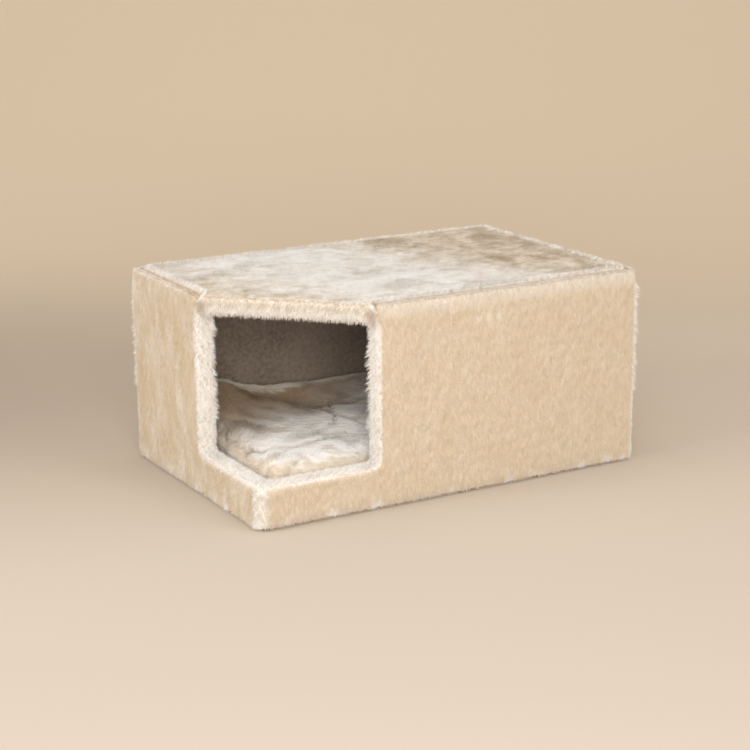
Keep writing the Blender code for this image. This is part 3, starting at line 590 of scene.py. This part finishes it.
class HouseNap:
    """How the pile lies at places on the house's plush, and where painted sheen and shade make it paler or
    darker.

    A zone is 1 where it is full and 0 away from it. A pair of numbers is where a zone begins and where it is
    full, by how the cloth faces or by metres from the level in its name. Other pairs are a usual value and how
    much tufts change it, or the least and the most.
    """

    # Zones by how the cloth faces
    edge_facing = (0.82, 0.985)
    top_facing = (0.45, 0.85)
    flat_facing = (0.86, 0.99)
    sill_facing = (0.1, 0.6)
    side_facing = (0.1, 0.4)
    header_facing = (0.82, 0.96)
    under_facing = (0.3, 0.8)
    left_facing = (0.5, 0.9)
    front_facing = (0.8, 0.95)

    # Zones by place
    hem = (0.004, 0.024)
    very_low = (0.001, 0.005)
    jamb_from_sill = (-0.015, 0.0)
    jamb_from_top = (-0.03, -0.01)
    jamb_reach = 0.018
    jamb_walls = 1.4
    sill_band = (-0.03, 0.01)
    top_band = 0.03
    header_band = 0.01
    foot_above_sill = 0.05
    foot_above_header = 0.012
    fringe_from_header = (0.012, 0.020)
    crown_from_top = (-0.010, -0.003)
    corner_width = 0.020
    roll_from_top = (-0.030, -0.012)
    roll_from_leg = (-0.005, 0.01)
    crevice_inset = 0.006
    crevice_width = 0.007
    crevice_from_header = (-0.004, 0.004)
    crevice_from_top = (-0.016, -0.008)
    behind_edge = 0.02

    # Painted marks in the pile: three dashes of sheen on the front wall, and a dimple of shade with a ring of
    # sheen
    dashes = (0.038, 0.055, 0.072)
    dash_height = 0.258
    dash_width = 0.0035
    dash_length = 0.008
    dash_pale = 0.45
    dimple_place = (0.077, 0.066)
    dimple_width = 0.005
    dimple_dark = 0.35
    ring_radius = 0.011
    ring_width = 0.004
    ring_pale = 0.3

    # How far the pile stands up in a zone, and how much longer or shorter it is there
    doorway_fluff = 0.9
    header_fluff = 0.5
    hem_fluff = 0.8
    fluff_tufts = (0.95, 0.25)
    fluff_spread = (0.85, 1.1)
    under_shorter = 0.4
    seam_shorter = 0.3
    edge_shorter = (0.28, 0.08)
    foot_tufts = 0.3
    length_spread = (0.8, 1.15)

    # The way the pile is combed: swirls in radians, and how far tufts turn it
    swirl = 0.6
    small_swirl = 0.35
    fine_turn = 0.03
    broad_turn = 0.05
    fluffy_turn = 0.20
    flat_turn = 2

    # Looks: a name ends with the look that it changes, _pale, _dusk, _deep or _lot, which carry painted sheen
    # and shade
    wall_pale = 0.15
    wall_streaks = 0.03
    wall_clouds = 0.03
    left_clouds = 0.13
    hem_pale = (0.10, 0.7)
    hem_tufts = (0.1, 1.0)
    edge_pale = (0.85, 0.25)
    edge_loss = 0.5
    doorway_pale = (0.86, 0.30)
    header_pale = (0.50, 0.15)
    header_rim_pale = 0.35
    crown_share = 0.8
    welt_pale = (1.0, 0.3)
    roll_pale = (0.46, 0.02)
    top_pale = 0.17
    bright_pale = 0.71
    bright_start = (-0.36, -0.12)
    bright_end = (-0.02, 0.20)
    bright_slant = 0.4
    broad_sheen = 0.7
    small_sheen = 0.4
    sheen_pale = 0.17
    fine_pale = 0.11
    top_dusk = 0.56
    sheen_dusk = 0.30
    bright_dusk = 0.85
    seam_deep = 0.65
    crevice_deep = 0.5
    low_deep = 0.5
    usual_lot = 0.55
    streak_lot = 0.08
    tuft_lot = 0.15
    random_lot = 0.08
    bright_lot = 0.35
    rim_lot = 0.35
    left_lot = 0.15
    doorway_lot = 0.05

    def __init__(self, house, points, normals, from_seam, on_top):
        self.house, self.points, self.normals = house, points, normals
        self.from_seam, self.on_top = from_seam, on_top
        self.streaks = waves(points * (1, 1, 0.3), size=0.006, seed=43)
        self.tufts = waves(points, size=0.0055, seed=57)
        self.mark_faces()
        self.mark_doorway()
        self.mark_seam()

    def mark_faces(self):
        """Zones of the box as a whole."""
        x, y, z = self.points.T
        left, front = x - LOW[0], y - LOW[1]
        to_left, to_front, to_top = -self.normals[:, 0], -self.normals[:, 1], self.normals[:, 2]
        facing = np.maximum(np.abs(self.normals).max(1), np.abs(self.normals @ self.house.header_way))
        self.edge = 1 - ramp(facing, *self.edge_facing)
        self.top = ramp(to_top, *self.top_facing) * (z > HIGH[2] - self.top_band)
        self.under = ramp(-to_top, *self.under_facing)
        self.left_face = ramp(to_left, *self.left_facing)
        self.front_face = ramp(to_front, *self.front_facing)
        self.at_hem = 1 - ramp(z, *self.hem)
        self.corner = np.exp(-(((left + front) / self.corner_width) ** 4)) * (z < self.house.sill_top)
        self.front_roll = ramp(to_front, *self.side_facing) * rise(z, HIGH[2], *self.roll_from_top)
        self.front_roll *= rise(left, self.house.leg, *self.roll_from_leg)
        self.from_dimple = np.hypot(x - self.dimple_place[0], y - self.dimple_place[1])

    def mark_doorway(self):
        """Zones round the doorway: sill, jambs, header, and the header's foot and ends."""
        house = self.house
        x, y, z = self.points.T
        left, front = x - LOW[0], y - LOW[1]
        between = rise(z, house.sill_top, *self.jamb_from_sill) * (1 - rise(z, HIGH[2], *self.jamb_from_top))
        jambs = self.beside(left, front, self.normals[:, 0]), self.beside(front, left, self.normals[:, 1])
        self.jamb = np.maximum(*jambs) * between
        lowest, highest = (house.sill_top + end for end in self.sill_band)
        self.sill = ramp(self.normals[:, 2], *self.sill_facing) * (z < highest) * (z > lowest)
        self.header = ramp(self.normals @ house.header_way, *self.header_facing)
        self.header *= z > house.header_foot - self.header_band
        self.foot = self.edge * (z < house.header_foot + self.foot_above_header)
        self.foot *= z > house.sill_top + self.foot_above_sill
        inset = self.crevice_inset
        ends = [(LOW[0] + house.leg - inset, LOW[1] + inset), (LOW[0] + inset, LOW[1] + house.leg - inset)]
        away = [((x - a) ** 2 + (y - b) ** 2) / self.crevice_width**2 for a, b in ends]
        self.crevice = np.maximum(np.exp(-away[0]), np.exp(-away[1]))
        self.crevice *= rise(z, house.header_foot, *self.crevice_from_header)
        self.crevice *= 1 - rise(z, HIGH[2], *self.crevice_from_top)

    def mark_seam(self):
        """Zones along the seam round the top."""
        self.seam = bell(self.from_seam * (2 * self.on_top - 1) - SEAM_PLACE, SEAM_WIDTH)
        self.welt = self.on_top * bell(self.from_seam - WELT_PLACE, WELT_WIDTH)

    def beside(self, along, across, normal):
        """The jamb at the end of a wall, from places along and across the wall."""
        near = np.abs(along - self.house.leg) < self.jamb_reach
        return near * (across < self.jamb_walls * self.house.wall) * ramp(-normal, *self.side_facing)

    def behind_header(self):
        """How far the points are behind the header's face."""
        return (self.points[:, 0] + self.points[:, 1] - LOW[0] - LOW[1] - self.house.leg) / math.sqrt(2)

    def outward(self):
        """Away from the middle of the top, square to its nearest edge."""
        x, y, z = self.points.T
        inside = np.stack([x - LOW[0], HIGH[0] - x, y - LOW[1], HIGH[1] - y, self.behind_header()])
        ways = np.array([(-1, 0, 0), (1, 0, 0), (0, -1, 0), (0, 1, 0), self.house.header_way])
        return ways[inside.argmin(0)]

    def fluff(self, made):
        """How far the pile stands up, from 0, combed flat, to 1."""
        doorway = self.doorway_fluff * np.maximum.reduce([self.sill, self.jamb, self.welt])
        rims = [self.header_fluff * self.header, self.hem_fluff * self.at_hem, self.corner]
        most = np.maximum.reduce([self.edge * (1 - self.front_roll), doorway] + rims)
        usual, more = self.fluff_tufts
        tufted = usual + more * waves(self.points, size=0.007, seed=48)
        return most * tufted * made.uniform(*self.fluff_spread, len(self.points))

    def reach(self, made):
        """How long the pile is, as a share of its usual length."""
        uneven = made.uniform(*self.length_spread, len(self.points))
        uneven *= 1 - self.under_shorter * self.under
        uneven *= 1 - self.seam_shorter * self.seam
        usual, less = self.edge_shorter
        shorter = usual - less * waves(self.points, size=0.009, seed=49)
        longer = 1 + self.foot_tufts * waves(self.points, size=0.03, seed=50)
        return uneven * (1 - shorter * np.maximum(self.edge, self.jamb)) * (1 + self.foot * longer)

    def lay(self, fluff):
        """The way the pile is combed: down the walls, in swirls along the top, and away from the seam."""
        points, normals = self.points, self.normals
        turn = self.swirl * waves(drawn_out(points, along=(1, 0, 0), stretch=1.6), size=0.09, seed=21)
        turn += self.small_swirl * waves(points, size=0.04, seed=22)
        combed = np.stack([np.cos(turn), np.sin(turn), 0 * turn], 1)
        down = np.array([0.0, 0.0, -1.0]) + 0 * points
        flat = ramp(normals[:, 2], *self.flat_facing)[:, None]
        field = mixed(down, combed, flat)
        parting = (bell(self.from_seam, SEAM_PARTING) * self.top)[:, None]
        field = mixed(field, self.outward() * (1 - 2 * self.on_top)[:, None], parting)
        field += self.fine_turn * (1 + self.flat_turn * flat) * drift(points, size=0.008, seed=31)
        field += self.broad_turn * (1 + self.flat_turn * flat) * drift(points, size=0.025, seed=35)
        field += self.fluffy_turn * fluff[:, None] * drift(points, size=0.007, seed=38)
        return along_cloth(field, normals)

    def tufted(self, look):
        """The usual value of a look, changed by the tufts."""
        usual, share = look
        return usual + share * self.tufts

    def pale_walls(self):
        """Paleness of the walls: clouds, clearest on the left, three dashes of painted sheen, and tufts along
        the hem.
        """
        x, y, z = self.points.T
        patches = clouds(self.points * (1, 1, 0.45), size=0.040, seed=51)
        cloudy = self.wall_clouds + self.left_clouds * self.left_face
        pale_and_sheen = self.wall_pale + self.wall_streaks * self.streaks + cloudy * patches
        for place in self.dashes:
            away = ((x - place) / self.dash_width) ** 2, ((z - self.dash_height) / self.dash_length) ** 2
            pale_and_sheen += self.dash_pale * np.exp(-away[0] - away[1]) * self.front_face
        usual, more = self.hem_pale
        tufts = ramp(waves(self.points * (1, 1, 0.5), size=0.03, seed=47), *self.hem_tufts)
        return pale_and_sheen + (usual + more * tufts) * self.at_hem

    def pale_header(self):
        """Paleness of the header, palest along its upper and lower edges with painted highlights."""
        z = self.points[:, 2]
        crown = rise(z, HIGH[2], *self.crown_from_top)
        fringe = 1 - rise(z, self.house.header_foot, *self.fringe_from_header)
        rims = self.header_rim_pale * np.maximum(self.crown_share * crown, fringe)
        usual, share = self.header_pale
        return usual + rims + share * self.tufts

    def top_bright(self):
        """The bright band of painted sheen across the top."""
        across = self.points[:, 0] + self.bright_slant * self.points[:, 1]
        return ramp(across, *self.bright_start) * (1 - ramp(across, *self.bright_end))

    def top_sheen(self):
        """Painted sheen in brushed patches on the top, about -1 to 1."""
        broad = clouds(drawn_out(self.points, along=(0.25, 1, 0), stretch=1.5), size=0.055, seed=61)
        small = clouds(drawn_out(self.points, along=(1, -0.2, 0), stretch=2.0), size=0.020, seed=81)
        return self.broad_sheen * broad + self.small_sheen * small

    def pale_top(self, bright, sheen):
        """Painted sheen and shade on the top: bright band, brushed patches, fine streaks, and the dimple with
        its ring.
        """
        fine = waves(drawn_out(self.points, along=(1, -0.3, 0), stretch=4.0), size=0.005, seed=67)
        fine += waves(drawn_out(self.points, along=(1, 0.1, 0), stretch=3.0), size=0.003, seed=68)
        pale_and_sheen = self.top_pale + self.bright_pale * bright + self.sheen_pale * sheen + self.fine_pale * fine
        ring = self.ring_pale * bell(self.from_dimple - self.ring_radius, self.ring_width)
        return pale_and_sheen + (ring - self.dimple_dark * bell(self.from_dimple, self.dimple_width))

    def looks(self, made):
        """pale, dusk, deep and lot of the plush."""
        z = self.points[:, 2]
        bright, sheen = self.top_bright(), self.top_sheen()
        beside_header = (z > self.house.header_foot) * (self.behind_header() < self.behind_edge)
        # Paler edges, doorway and welt: fluffed-up pile, with painted highlights where it catches the light
        pale_edge = self.tufted(self.edge_pale) * self.edge * (1 - self.edge_loss * beside_header)
        doorway = np.maximum.reduce([self.sill, self.jamb, self.corner])
        pale_and_sheen = np.maximum.reduce([self.pale_walls(), pale_edge, self.tufted(self.doorway_pale) * doorway])
        pale_and_sheen = mixed(pale_and_sheen, self.pale_header(), self.header)
        pale_and_sheen = mixed(pale_and_sheen, self.pale_top(bright, sheen), self.top)
        pale_and_sheen = np.maximum(pale_and_sheen, self.tufted(self.welt_pale) * self.welt)
        pale_and_sheen = mixed(pale_and_sheen, self.roll_pale[0] + self.roll_pale[1] * self.streaks, self.front_roll)
        # Painted shade in the seam's trough, the doorway's upper corners and along the floor
        lowest = self.low_deep * (1 - ramp(z, *self.very_low))
        deep_shade = np.maximum.reduce([self.seam_deep * self.seam, self.crevice_deep * self.crevice, lowest])
        # Painted shade on the top where the brushed pile shows no painted sheen, least in the bright band
        painted_shade = self.top * (self.top_dusk - self.sheen_dusk * sheen) * (1.0 - self.bright_dusk * bright)
        return {"pale_and_sheen": pale_and_sheen * (1 - deep_shade), "painted_shade": painted_shade, "deep_shade": deep_shade, "tone_and_light": self.lots(bright, made)}

    def lots(self, bright, made):
        """How light the plush is beside its usual colour, strand by strand."""
        uneven = self.tuft_lot * self.tufts * self.fluff(made)
        chance = self.random_lot * (made.random(len(self.points)) - 0.5)
        tone_and_light = self.usual_lot + self.streak_lot * self.streaks + uneven + chance
        # Painted shade on the rims of the front roll and header, and on the top's bright band
        rims = self.rim_lot * self.edge * np.maximum(self.front_roll, self.header)
        tone_and_light -= rims + self.bright_lot * self.top * bright
        # Painted shade on the left wall, the jambs and the header
        tone_and_light -= self.left_lot * self.left_face + self.doorway_lot * np.maximum(self.jamb, self.header)
        return tone_and_light


def vertices_of(mesh, faces):
    """Which vertices are on the given faces of a mesh of quads."""
    on = np.zeros(len(mesh.vertices), bool)
    on[corners_of(mesh).reshape(-1, 4)[faces].ravel()] = True
    return on


def thinned(mesh, kept):
    """Joins the flat runs of faces that have no kept vertex, because nothing shows there."""
    bm = bmesh.new()
    bm.from_mesh(mesh)
    loose = [vertex for vertex in bm.verts if not kept[vertex.index]]
    edges = [edge for edge in bm.edges if not kept[edge.verts[0].index] and not kept[edge.verts[1].index]]
    bmesh.ops.dissolve_limit(bm, angle_limit=math.radians(THINNING_DEGREES), verts=loose, edges=edges)
    bm.to_mesh(mesh)
    bm.free()


def distances(tree, points):
    return np.array([tree.find_nearest(Vector(point))[3] for point in points])


def panel_of(points, on_top):
    """The place in COVERS of the panel that each point is on."""
    x, y, z = points.T
    walls = np.stack([y - LOW[1], x - LOW[0], HIGH[1] - y, HIGH[0] - x])
    return np.where(on_top, COVERS.index("top_plush"), np.abs(walls).argmin(0))


def seam_round_top(points):
    """How far the points are from the seam, and 1 or 0 for its two sides. Below the rim it fades out."""
    wander = points + SEAM_WANDER * level_drift(points, SEAM_WANDER_SIZE, seed=51)
    to_top = distances(tree_of(["top_plush"]), wander)
    to_sides = distances(tree_of(SIDE_COVERS), wander)
    below = HIGH[2] - points[:, 2]
    from_seam = np.maximum(to_top, to_sides) + SEAM_FADED * ramp(below, *SEAM_FADE)
    return from_seam + NO_SEAM * (below > SEAM_FADE[1]), (to_top < to_sides).astype(float)


def dress_house(material, made):
    """The sewn plush cover: its skin, with the seam round the top, and its pile."""
    house = House()
    skin = remeshed("cover_skin", COVERS, COVER_VOXEL, COVER_SMOOTHINGS, material)
    mesh = skin.data
    free = open_faces(mesh, tree_of(BOARDS + LININGS))
    shown = vertices_of(mesh, free)
    points = read(mesh, "vertices", "co", 3)
    normals = read(mesh, "vertices", "normal", 3)
    from_seam, on_top = seam_round_top(points)
    nap = HouseNap(house, points, normals, from_seam, on_top)
    sink = SKIN_SINK - SKIN_LUMPS * waves(points, SKIN_LUMP_SIZE, seed=5)
    sink += SEAM_DEPTH * np.maximum(nap.seam, CREVICE_SHARE * nap.crevice)
    sink -= WELT_RISE * nap.welt
    skin_looks = nap.looks(made)
    points -= normals * (sink * shown)[:, None]
    points[:, 2] = np.maximum(points[:, 2], LEAST_HEIGHT)
    place_vertices(mesh, points)

    down = read(mesh, "polygons", "normal", 3)[:, 2] < HEM_FACING
    low = read(mesh, "polygons", "center", 3)[:, 2] < HEM_HEIGHT
    roots = Roots(mesh, np.flatnonzero(free & ~(down & low)), STRANDS_PER_M2, made)
    places, stand = roots.of(points), unit(roots.of(normals))
    nap = HouseNap(house, places, stand, roots.of(from_seam)[:, 0], roots.of(on_top)[:, 0])
    fluff = nap.fluff(made)
    lengths = STRAND_LENGTH * nap.reach(made)
    pile = Strands(places, stand, nap.lay(fluff), fluff, lengths, nap.looks(made), made)
    panels = panel_of(places, nap.on_top > 0.5)
    pieces = [skin]
    for k, cover in enumerate(COVERS):
        pieces += pile.pieces(cover.replace("_plush", "_pile"), np.flatnonzero(panels == k), material)

    put(mesh, tip=np.full(len(points), SKIN_TIP), **skin_looks)
    thinned(mesh, shown)
    for piece in pieces:
        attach(piece, "house")
    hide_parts(*COVERS)


class PadNap:
    """How the pile lies on the pad, and where painted sheen and shade make it paler or darker."""

    # Creases drawn in plan, and how wide each is
    creases = {
        "left": [(-0.265, 0.023), (-0.266, -0.003), (-0.257, -0.044), (-0.247, -0.087), (-0.229, -0.114)],
        "middle": [(-0.043, 0.116), (-0.074, 0.039), (-0.084, 0.008), (-0.107, -0.028)],
        "right": [(-0.079, 0.017), (-0.069, -0.039), (-0.050, -0.090)],
        "fold": [(-0.205, 0.168), (-0.165, 0.150), (-0.125, 0.120), (-0.098, 0.080), (-0.078, 0.035)],
        "front": [(-0.215, -0.100), (-0.121, -0.090), (-0.090, -0.103), (0.020, -0.080)],
    }
    crease_widths = {"left": 0.0045, "middle": 0.0050, "right": 0.0045, "fold": 0.0055, "front": 0.0050}
    crease_wander = 0.004
    grain = (1, -0.6, 0)
    inside_from_roll = (-0.012, 0.002)
    uneven_roll = 0.003
    rear_slant = 0.5
    rear = (0.03, 0.21)
    border_width = 0.005
    swirl = 0.8
    small_swirl = 0.4
    usual_turn = 0.6
    droop = 0.4
    fine_turn = 0.10
    broad_turn = 0.12
    roll_pale = (0.40, 0.1)
    top_streaks = 0.22
    top_patches = 0.30
    rear_even = 0.8
    border_pale = (0.5, 0.7)
    border_share = 0.25
    patch_dusk = 0.25
    dusky_patches = (-0.3, 1.0)
    rear_deep = 0.7
    crease_deep = 0.5
    usual_lot = 0.5
    roll_lot = 0.35
    streak_lot = 0.15
    random_lot = 0.1
    rear_lot = 0.9

    def __init__(self):
        self.low, self.high = (np.array(corner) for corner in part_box("pad_cover"))

    def from_edge(self, points):
        x, y, z = points.T
        return np.minimum.reduce([x - self.low[0], self.high[0] - x, y - self.low[1], self.high[1] - y])

    def creased(self, points):
        """How far into a crease a point is, from 0 to 1."""
        wander = points + self.crease_wander * level_drift(points, size=0.03, seed=61)
        near = [near_line(wander, line, self.crease_widths[name]) for name, line in self.creases.items()]
        return np.maximum.reduce(near)

    def lay(self, points, normals):
        """The way the pile is combed: to the front right, in swirls, and down."""
        turn = self.usual_turn + self.swirl * waves(points, size=0.12, seed=63)
        turn += self.small_swirl * waves(points, size=0.04, seed=64)
        field = np.stack([np.cos(turn), -np.sin(turn), 0 * turn - self.droop], 1)
        field += self.fine_turn * drift(points, size=0.008, seed=65)
        field += self.broad_turn * drift(points, size=0.025, seed=68)
        return along_cloth(field, normals)

    def looks(self, points, made):
        """The four looks of the plush: painted sheen and light in front, painted shade at the rear and in the
        creases.
        """
        x, y, z = points.T
        streaks = waves(drawn_out(points, self.grain, stretch=3.0), size=0.010, seed=71)
        patches = waves(drawn_out(points, self.grain, stretch=1.6), size=0.05, seed=72)
        from_edge = self.from_edge(points)
        inside = rise(from_edge + self.uneven_roll * streaks, PAD_EDGE_ROLL, *self.inside_from_roll)
        # Painted shade grows towards the rear, under the roof
        rear = ramp(y - self.rear_slant * x, *self.rear)
        brushed = self.top_streaks * streaks + self.top_patches * patches
        # Painted sheen on the top in front of the rear, and a painted highlight along the border of the roll
        top = 1.0 - rear + brushed * (1 - self.rear_even * rear)
        roll = self.roll_pale[0] + self.roll_pale[1] * patches
        border = bell(from_edge - PAD_EDGE_ROLL, self.border_width) * (1 - rear)
        border_pale = self.border_pale[0] + self.border_pale[1] * streaks
        pale_and_sheen = (1 - inside) * roll + inside * top + self.border_share * border * border_pale
        # Painted shade at the rear, in darker patches and in the creases
        painted_shade = inside * (rear + self.patch_dusk * ramp(-patches, *self.dusky_patches))
        deep_shade = np.maximum(self.rear_deep * rear * inside, self.crease_deep * self.creased(points))
        chance = self.random_lot * (made.random(len(points)) - 0.5)
        # Painted light on the roll and painted shade at the rear, over an uneven tone
        tone_and_light = self.usual_lot + self.roll_lot * (1 - inside) + self.streak_lot * streaks + chance
        return {"pale_and_sheen": pale_and_sheen, "painted_shade": painted_shade, "deep_shade": deep_shade, "tone_and_light": tone_and_light - self.rear_lot * rear}


def blown_up(body, held):
    """The mesh of a body after it swells in a cloth simulation. Its held vertices stay."""
    pins = body.vertex_groups.new(name="held")
    for index in np.flatnonzero(held):
        pins.add([int(index)], 1.0, "REPLACE")
    cloth = body.modifiers.new("Swell", "CLOTH")
    cloth.settings.vertex_group_mass = "held"
    cloth.settings.use_pressure = True
    cloth.settings.uniform_pressure_force = PAD_PRESSURE
    cloth.settings.shrink_min = -PAD_GROWTH
    cloth.settings.effector_weights.gravity = 0.0
    cloth.point_cache.frame_end = PAD_FRAMES
    for number in range(1, PAD_FRAMES + 1):
        bpy.context.scene.frame_set(number)
    mesh = applied(body)
    bpy.context.scene.frame_set(1)
    return mesh


def kept_inside(points, chosen, tree):
    """Moves the chosen points that are outside a surface, or too near to it, back inside."""
    for k in np.flatnonzero(chosen):
        near, outwards = tree.find_nearest(Vector(points[k]))[:2]
        out = (Vector(points[k]) - near).dot(outwards) + PAD_CLEAR
        if out > 0:
            points[k] -= np.array(outwards) * out


def swollen(name, nodes, material):
    """A padded piece: drawn in from its CAD solids, blown up like a cushion, and kept inside them."""
    body = remeshed(name, nodes, PAD_VOXEL, PAD_SMOOTHINGS, material)
    points = read(body.data, "vertices", "co", 3)
    normals = read(body.data, "vertices", "normal", 3)
    held = ramp(-normals[:, 2], *PAD_HELD_FACING)
    start = points - normals * (PAD_DRAW_IN * (1 - held))[:, None]
    place_vertices(body.data, start)
    mesh = blown_up(body, held > 0.5)
    moved = read(mesh, "vertices", "co", 3) - start
    reach = np.linalg.norm(moved, axis=1, keepdims=True)
    points = start + moved * np.minimum(1.0, PAD_SWELL_CAP / np.maximum(reach, TINY))
    kept_inside(points, held < 0.5, tree_of(nodes))
    mesh.vertices.foreach_set("co", points.ravel())
    finer = add_object(name, mesh, material)
    subdivision = finer.modifiers.new("Finer", "SUBSURF")
    subdivision.levels = 1
    subdivision.render_levels = 1
    mesh = applied(finer)
    mesh.shade_smooth()
    return add_object(name, mesh, material)


def dress_pad(material, made):
    """The loose plush pad: its swollen body with its creases, and its pile."""
    nap = PadNap()
    body = swollen("pad_body", PAD_NODES, material)
    mesh = body.data
    points = read(mesh, "vertices", "co", 3)
    normals = read(mesh, "vertices", "normal", 3)
    upper = ramp(normals[:, 2], *PAD_UPPER_FACING)
    lumps = PAD_LUMPS * waves(points, PAD_LUMP_SIZE, seed=73)
    sink = PAD_CREASE_DEPTH * nap.creased(points) - lumps + PAD_LUMPS
    points -= normals * (sink * upper)[:, None]
    place_vertices(mesh, points)
    normals = read(mesh, "vertices", "normal", 3)
    faces = np.flatnonzero(read(mesh, "polygons", "normal", 3)[:, 2] > PAD_BASE_FACING)
    roots = Roots(mesh, faces, STRANDS_PER_M2, made)
    places, stand = roots.of(points), unit(roots.of(normals))
    on_top = PAD_SIDE_LENGTH + PAD_TOP_MORE * ramp(stand[:, 2], *PAD_TOP_FACING)
    lengths = STRAND_LENGTH * made.uniform(*PAD_LENGTHS, len(places)) * on_top
    fluff = np.zeros(len(places))
    pile = Strands(places, stand, nap.lay(places, stand), fluff, lengths, nap.looks(places, made), made)
    put(mesh, tip=np.full(len(points), SKIN_TIP), **nap.looks(points, made))
    for piece in [body] + pile.pieces("pad_pile", np.arange(len(places)), material):
        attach(piece, "pad")
    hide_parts(*PAD_NODES)


def dress_cad():
    """Materials of the CAD nodes that show as they are."""
    felt = felt_material()
    chipboard = chipboard_material()
    steel = steel_material()
    for name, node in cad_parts.items():
        if name in LININGS:
            node.material_slots[0].material = felt
        elif name in BOARDS:
            node.material_slots[0].material = chipboard
        elif "screw" in name or "staple" in name:
            node.material_slots[0].material = steel


def add_camera():
    data = bpy.data.cameras.new("camera")
    camera = bpy.data.objects.new("camera", data)
    bpy.context.scene.collection.objects.link(camera)
    data.lens = LENS_MM
    data.sensor_width = SENSOR_MM
    data.clip_end = CAMERA_REACH
    right, down, forward = Vector(CAMERA_RIGHT), Vector(CAMERA_DOWN), Vector(CAMERA_FORWARD)
    turn = Matrix((right, -down, -forward)).transposed().to_4x4()
    camera.matrix_world = Matrix.Translation(CAMERA_PLACE) @ turn
    bpy.context.scene.camera = camera


def sweep_material():
    """Pale paper, warmer on the backdrop, with painted shade towards the camera and a painted shadow at the
    left.
    """
    surface = Surface("sweep_paper", Roughness=0.9)
    back = surface.add("ShaderNodeSeparateXYZ", {0: surface.place}).outputs["Y"]
    floor = surface.blend(surface.steps(back, *FLOOR_FADE), FLOOR_SHADED_FRONT, FLOOR_COLOUR)
    paper = surface.blend(surface.steps(back, *BACKDROP_FADE), floor, BACKDROP_COLOUR)
    # A painted shadow: the paper darker round a place at the left of the house
    aside = surface.add("ShaderNodeVectorMath", {0: surface.place, 1: PAINTED_SHADOW_PLACE}, operation="DISTANCE")
    shade = surface.steps(aside.outputs["Value"], *PAINTED_SHADOW_FADE, to_low=PAINTED_SHADOW_SHARE, to_high=0.0)
    surface.colour(surface.blend(shade, paper, PAINTED_SHADOW_COLOUR))
    return surface.material


def add_floor():
    """A seamless sweep: floor, curve and backdrop, square to the camera."""
    profile = [(SWEEP_FRONT, 0.0), (SWEEP_BEHIND, 0.0)]
    for k in range(1, SWEEP_STEPS + 1):
        turn = math.pi / 2 * k / SWEEP_STEPS
        profile.append((SWEEP_BEHIND + SWEEP_RADIUS * math.sin(turn), SWEEP_RADIUS * (1 - math.cos(turn))))
    profile.append((SWEEP_BEHIND + SWEEP_RADIUS, SWEEP_HEIGHT))
    bm = bmesh.new()
    sides = (-SWEEP_HALF_WIDTH, SWEEP_HALF_WIDTH)
    rows = [[bm.verts.new((side, y, z)) for y, z in profile] for side in sides]
    for k in range(len(profile) - 1):
        bm.faces.new((rows[0][k], rows[1][k], rows[1][k + 1], rows[0][k + 1]))
    mesh = bpy.data.meshes.new("sweep")
    bm.to_mesh(mesh)
    bm.free()
    mesh.shade_smooth()
    sweep = add_object("sweep", mesh, sweep_material())
    sweep.rotation_euler.z = -math.atan2(CAMERA_FORWARD[0], CAMERA_FORWARD[1])


def add_lamp(name, place, size, power):
    """A square soft box that points at the house."""
    data = bpy.data.lights.new(name, "AREA")
    data.shape = "RECTANGLE"
    data.size = data.size_y = size
    data.energy = power
    data.color = LAMP_COLOUR
    lamp = bpy.data.objects.new(name, data)
    bpy.context.scene.collection.objects.link(lamp)
    lamp.location = place
    lamp.rotation_euler = (Vector(LAMP_TARGET) - place).to_track_quat("-Z", "Y").to_euler()


def add_light():
    """Four soft boxes, placed by the camera's line of sight, in an evenly lit studio."""
    world = bpy.data.worlds.new("studio")
    world.use_nodes = True
    background = world.node_tree.nodes["Background"]
    background.inputs["Color"].default_value = STUDIO_COLOUR
    background.inputs["Strength"].default_value = STUDIO_STRENGTH
    bpy.context.scene.world = world
    beyond = Vector((CAMERA_FORWARD[0], CAMERA_FORWARD[1], 0)).normalized()
    right = Vector((beyond.y, -beyond.x, 0))
    for name, lamp in LAMPS.items():
        place = right * lamp["right"] + beyond * lamp["beyond"] + Vector((0, 0, lamp["up"]))
        add_lamp(name, place, lamp["size"], lamp["power"])


def main():
    made = np.random.default_rng(SEED)
    bpy.context.scene.view_settings.view_transform = "Standard"
    add_camera()
    add_floor()
    add_light()
    plush = plush_material()
    dress_house(plush, made)
    dress_pad(plush, made)
    dress_cad()


main()
bpy.context.view_layer.update()
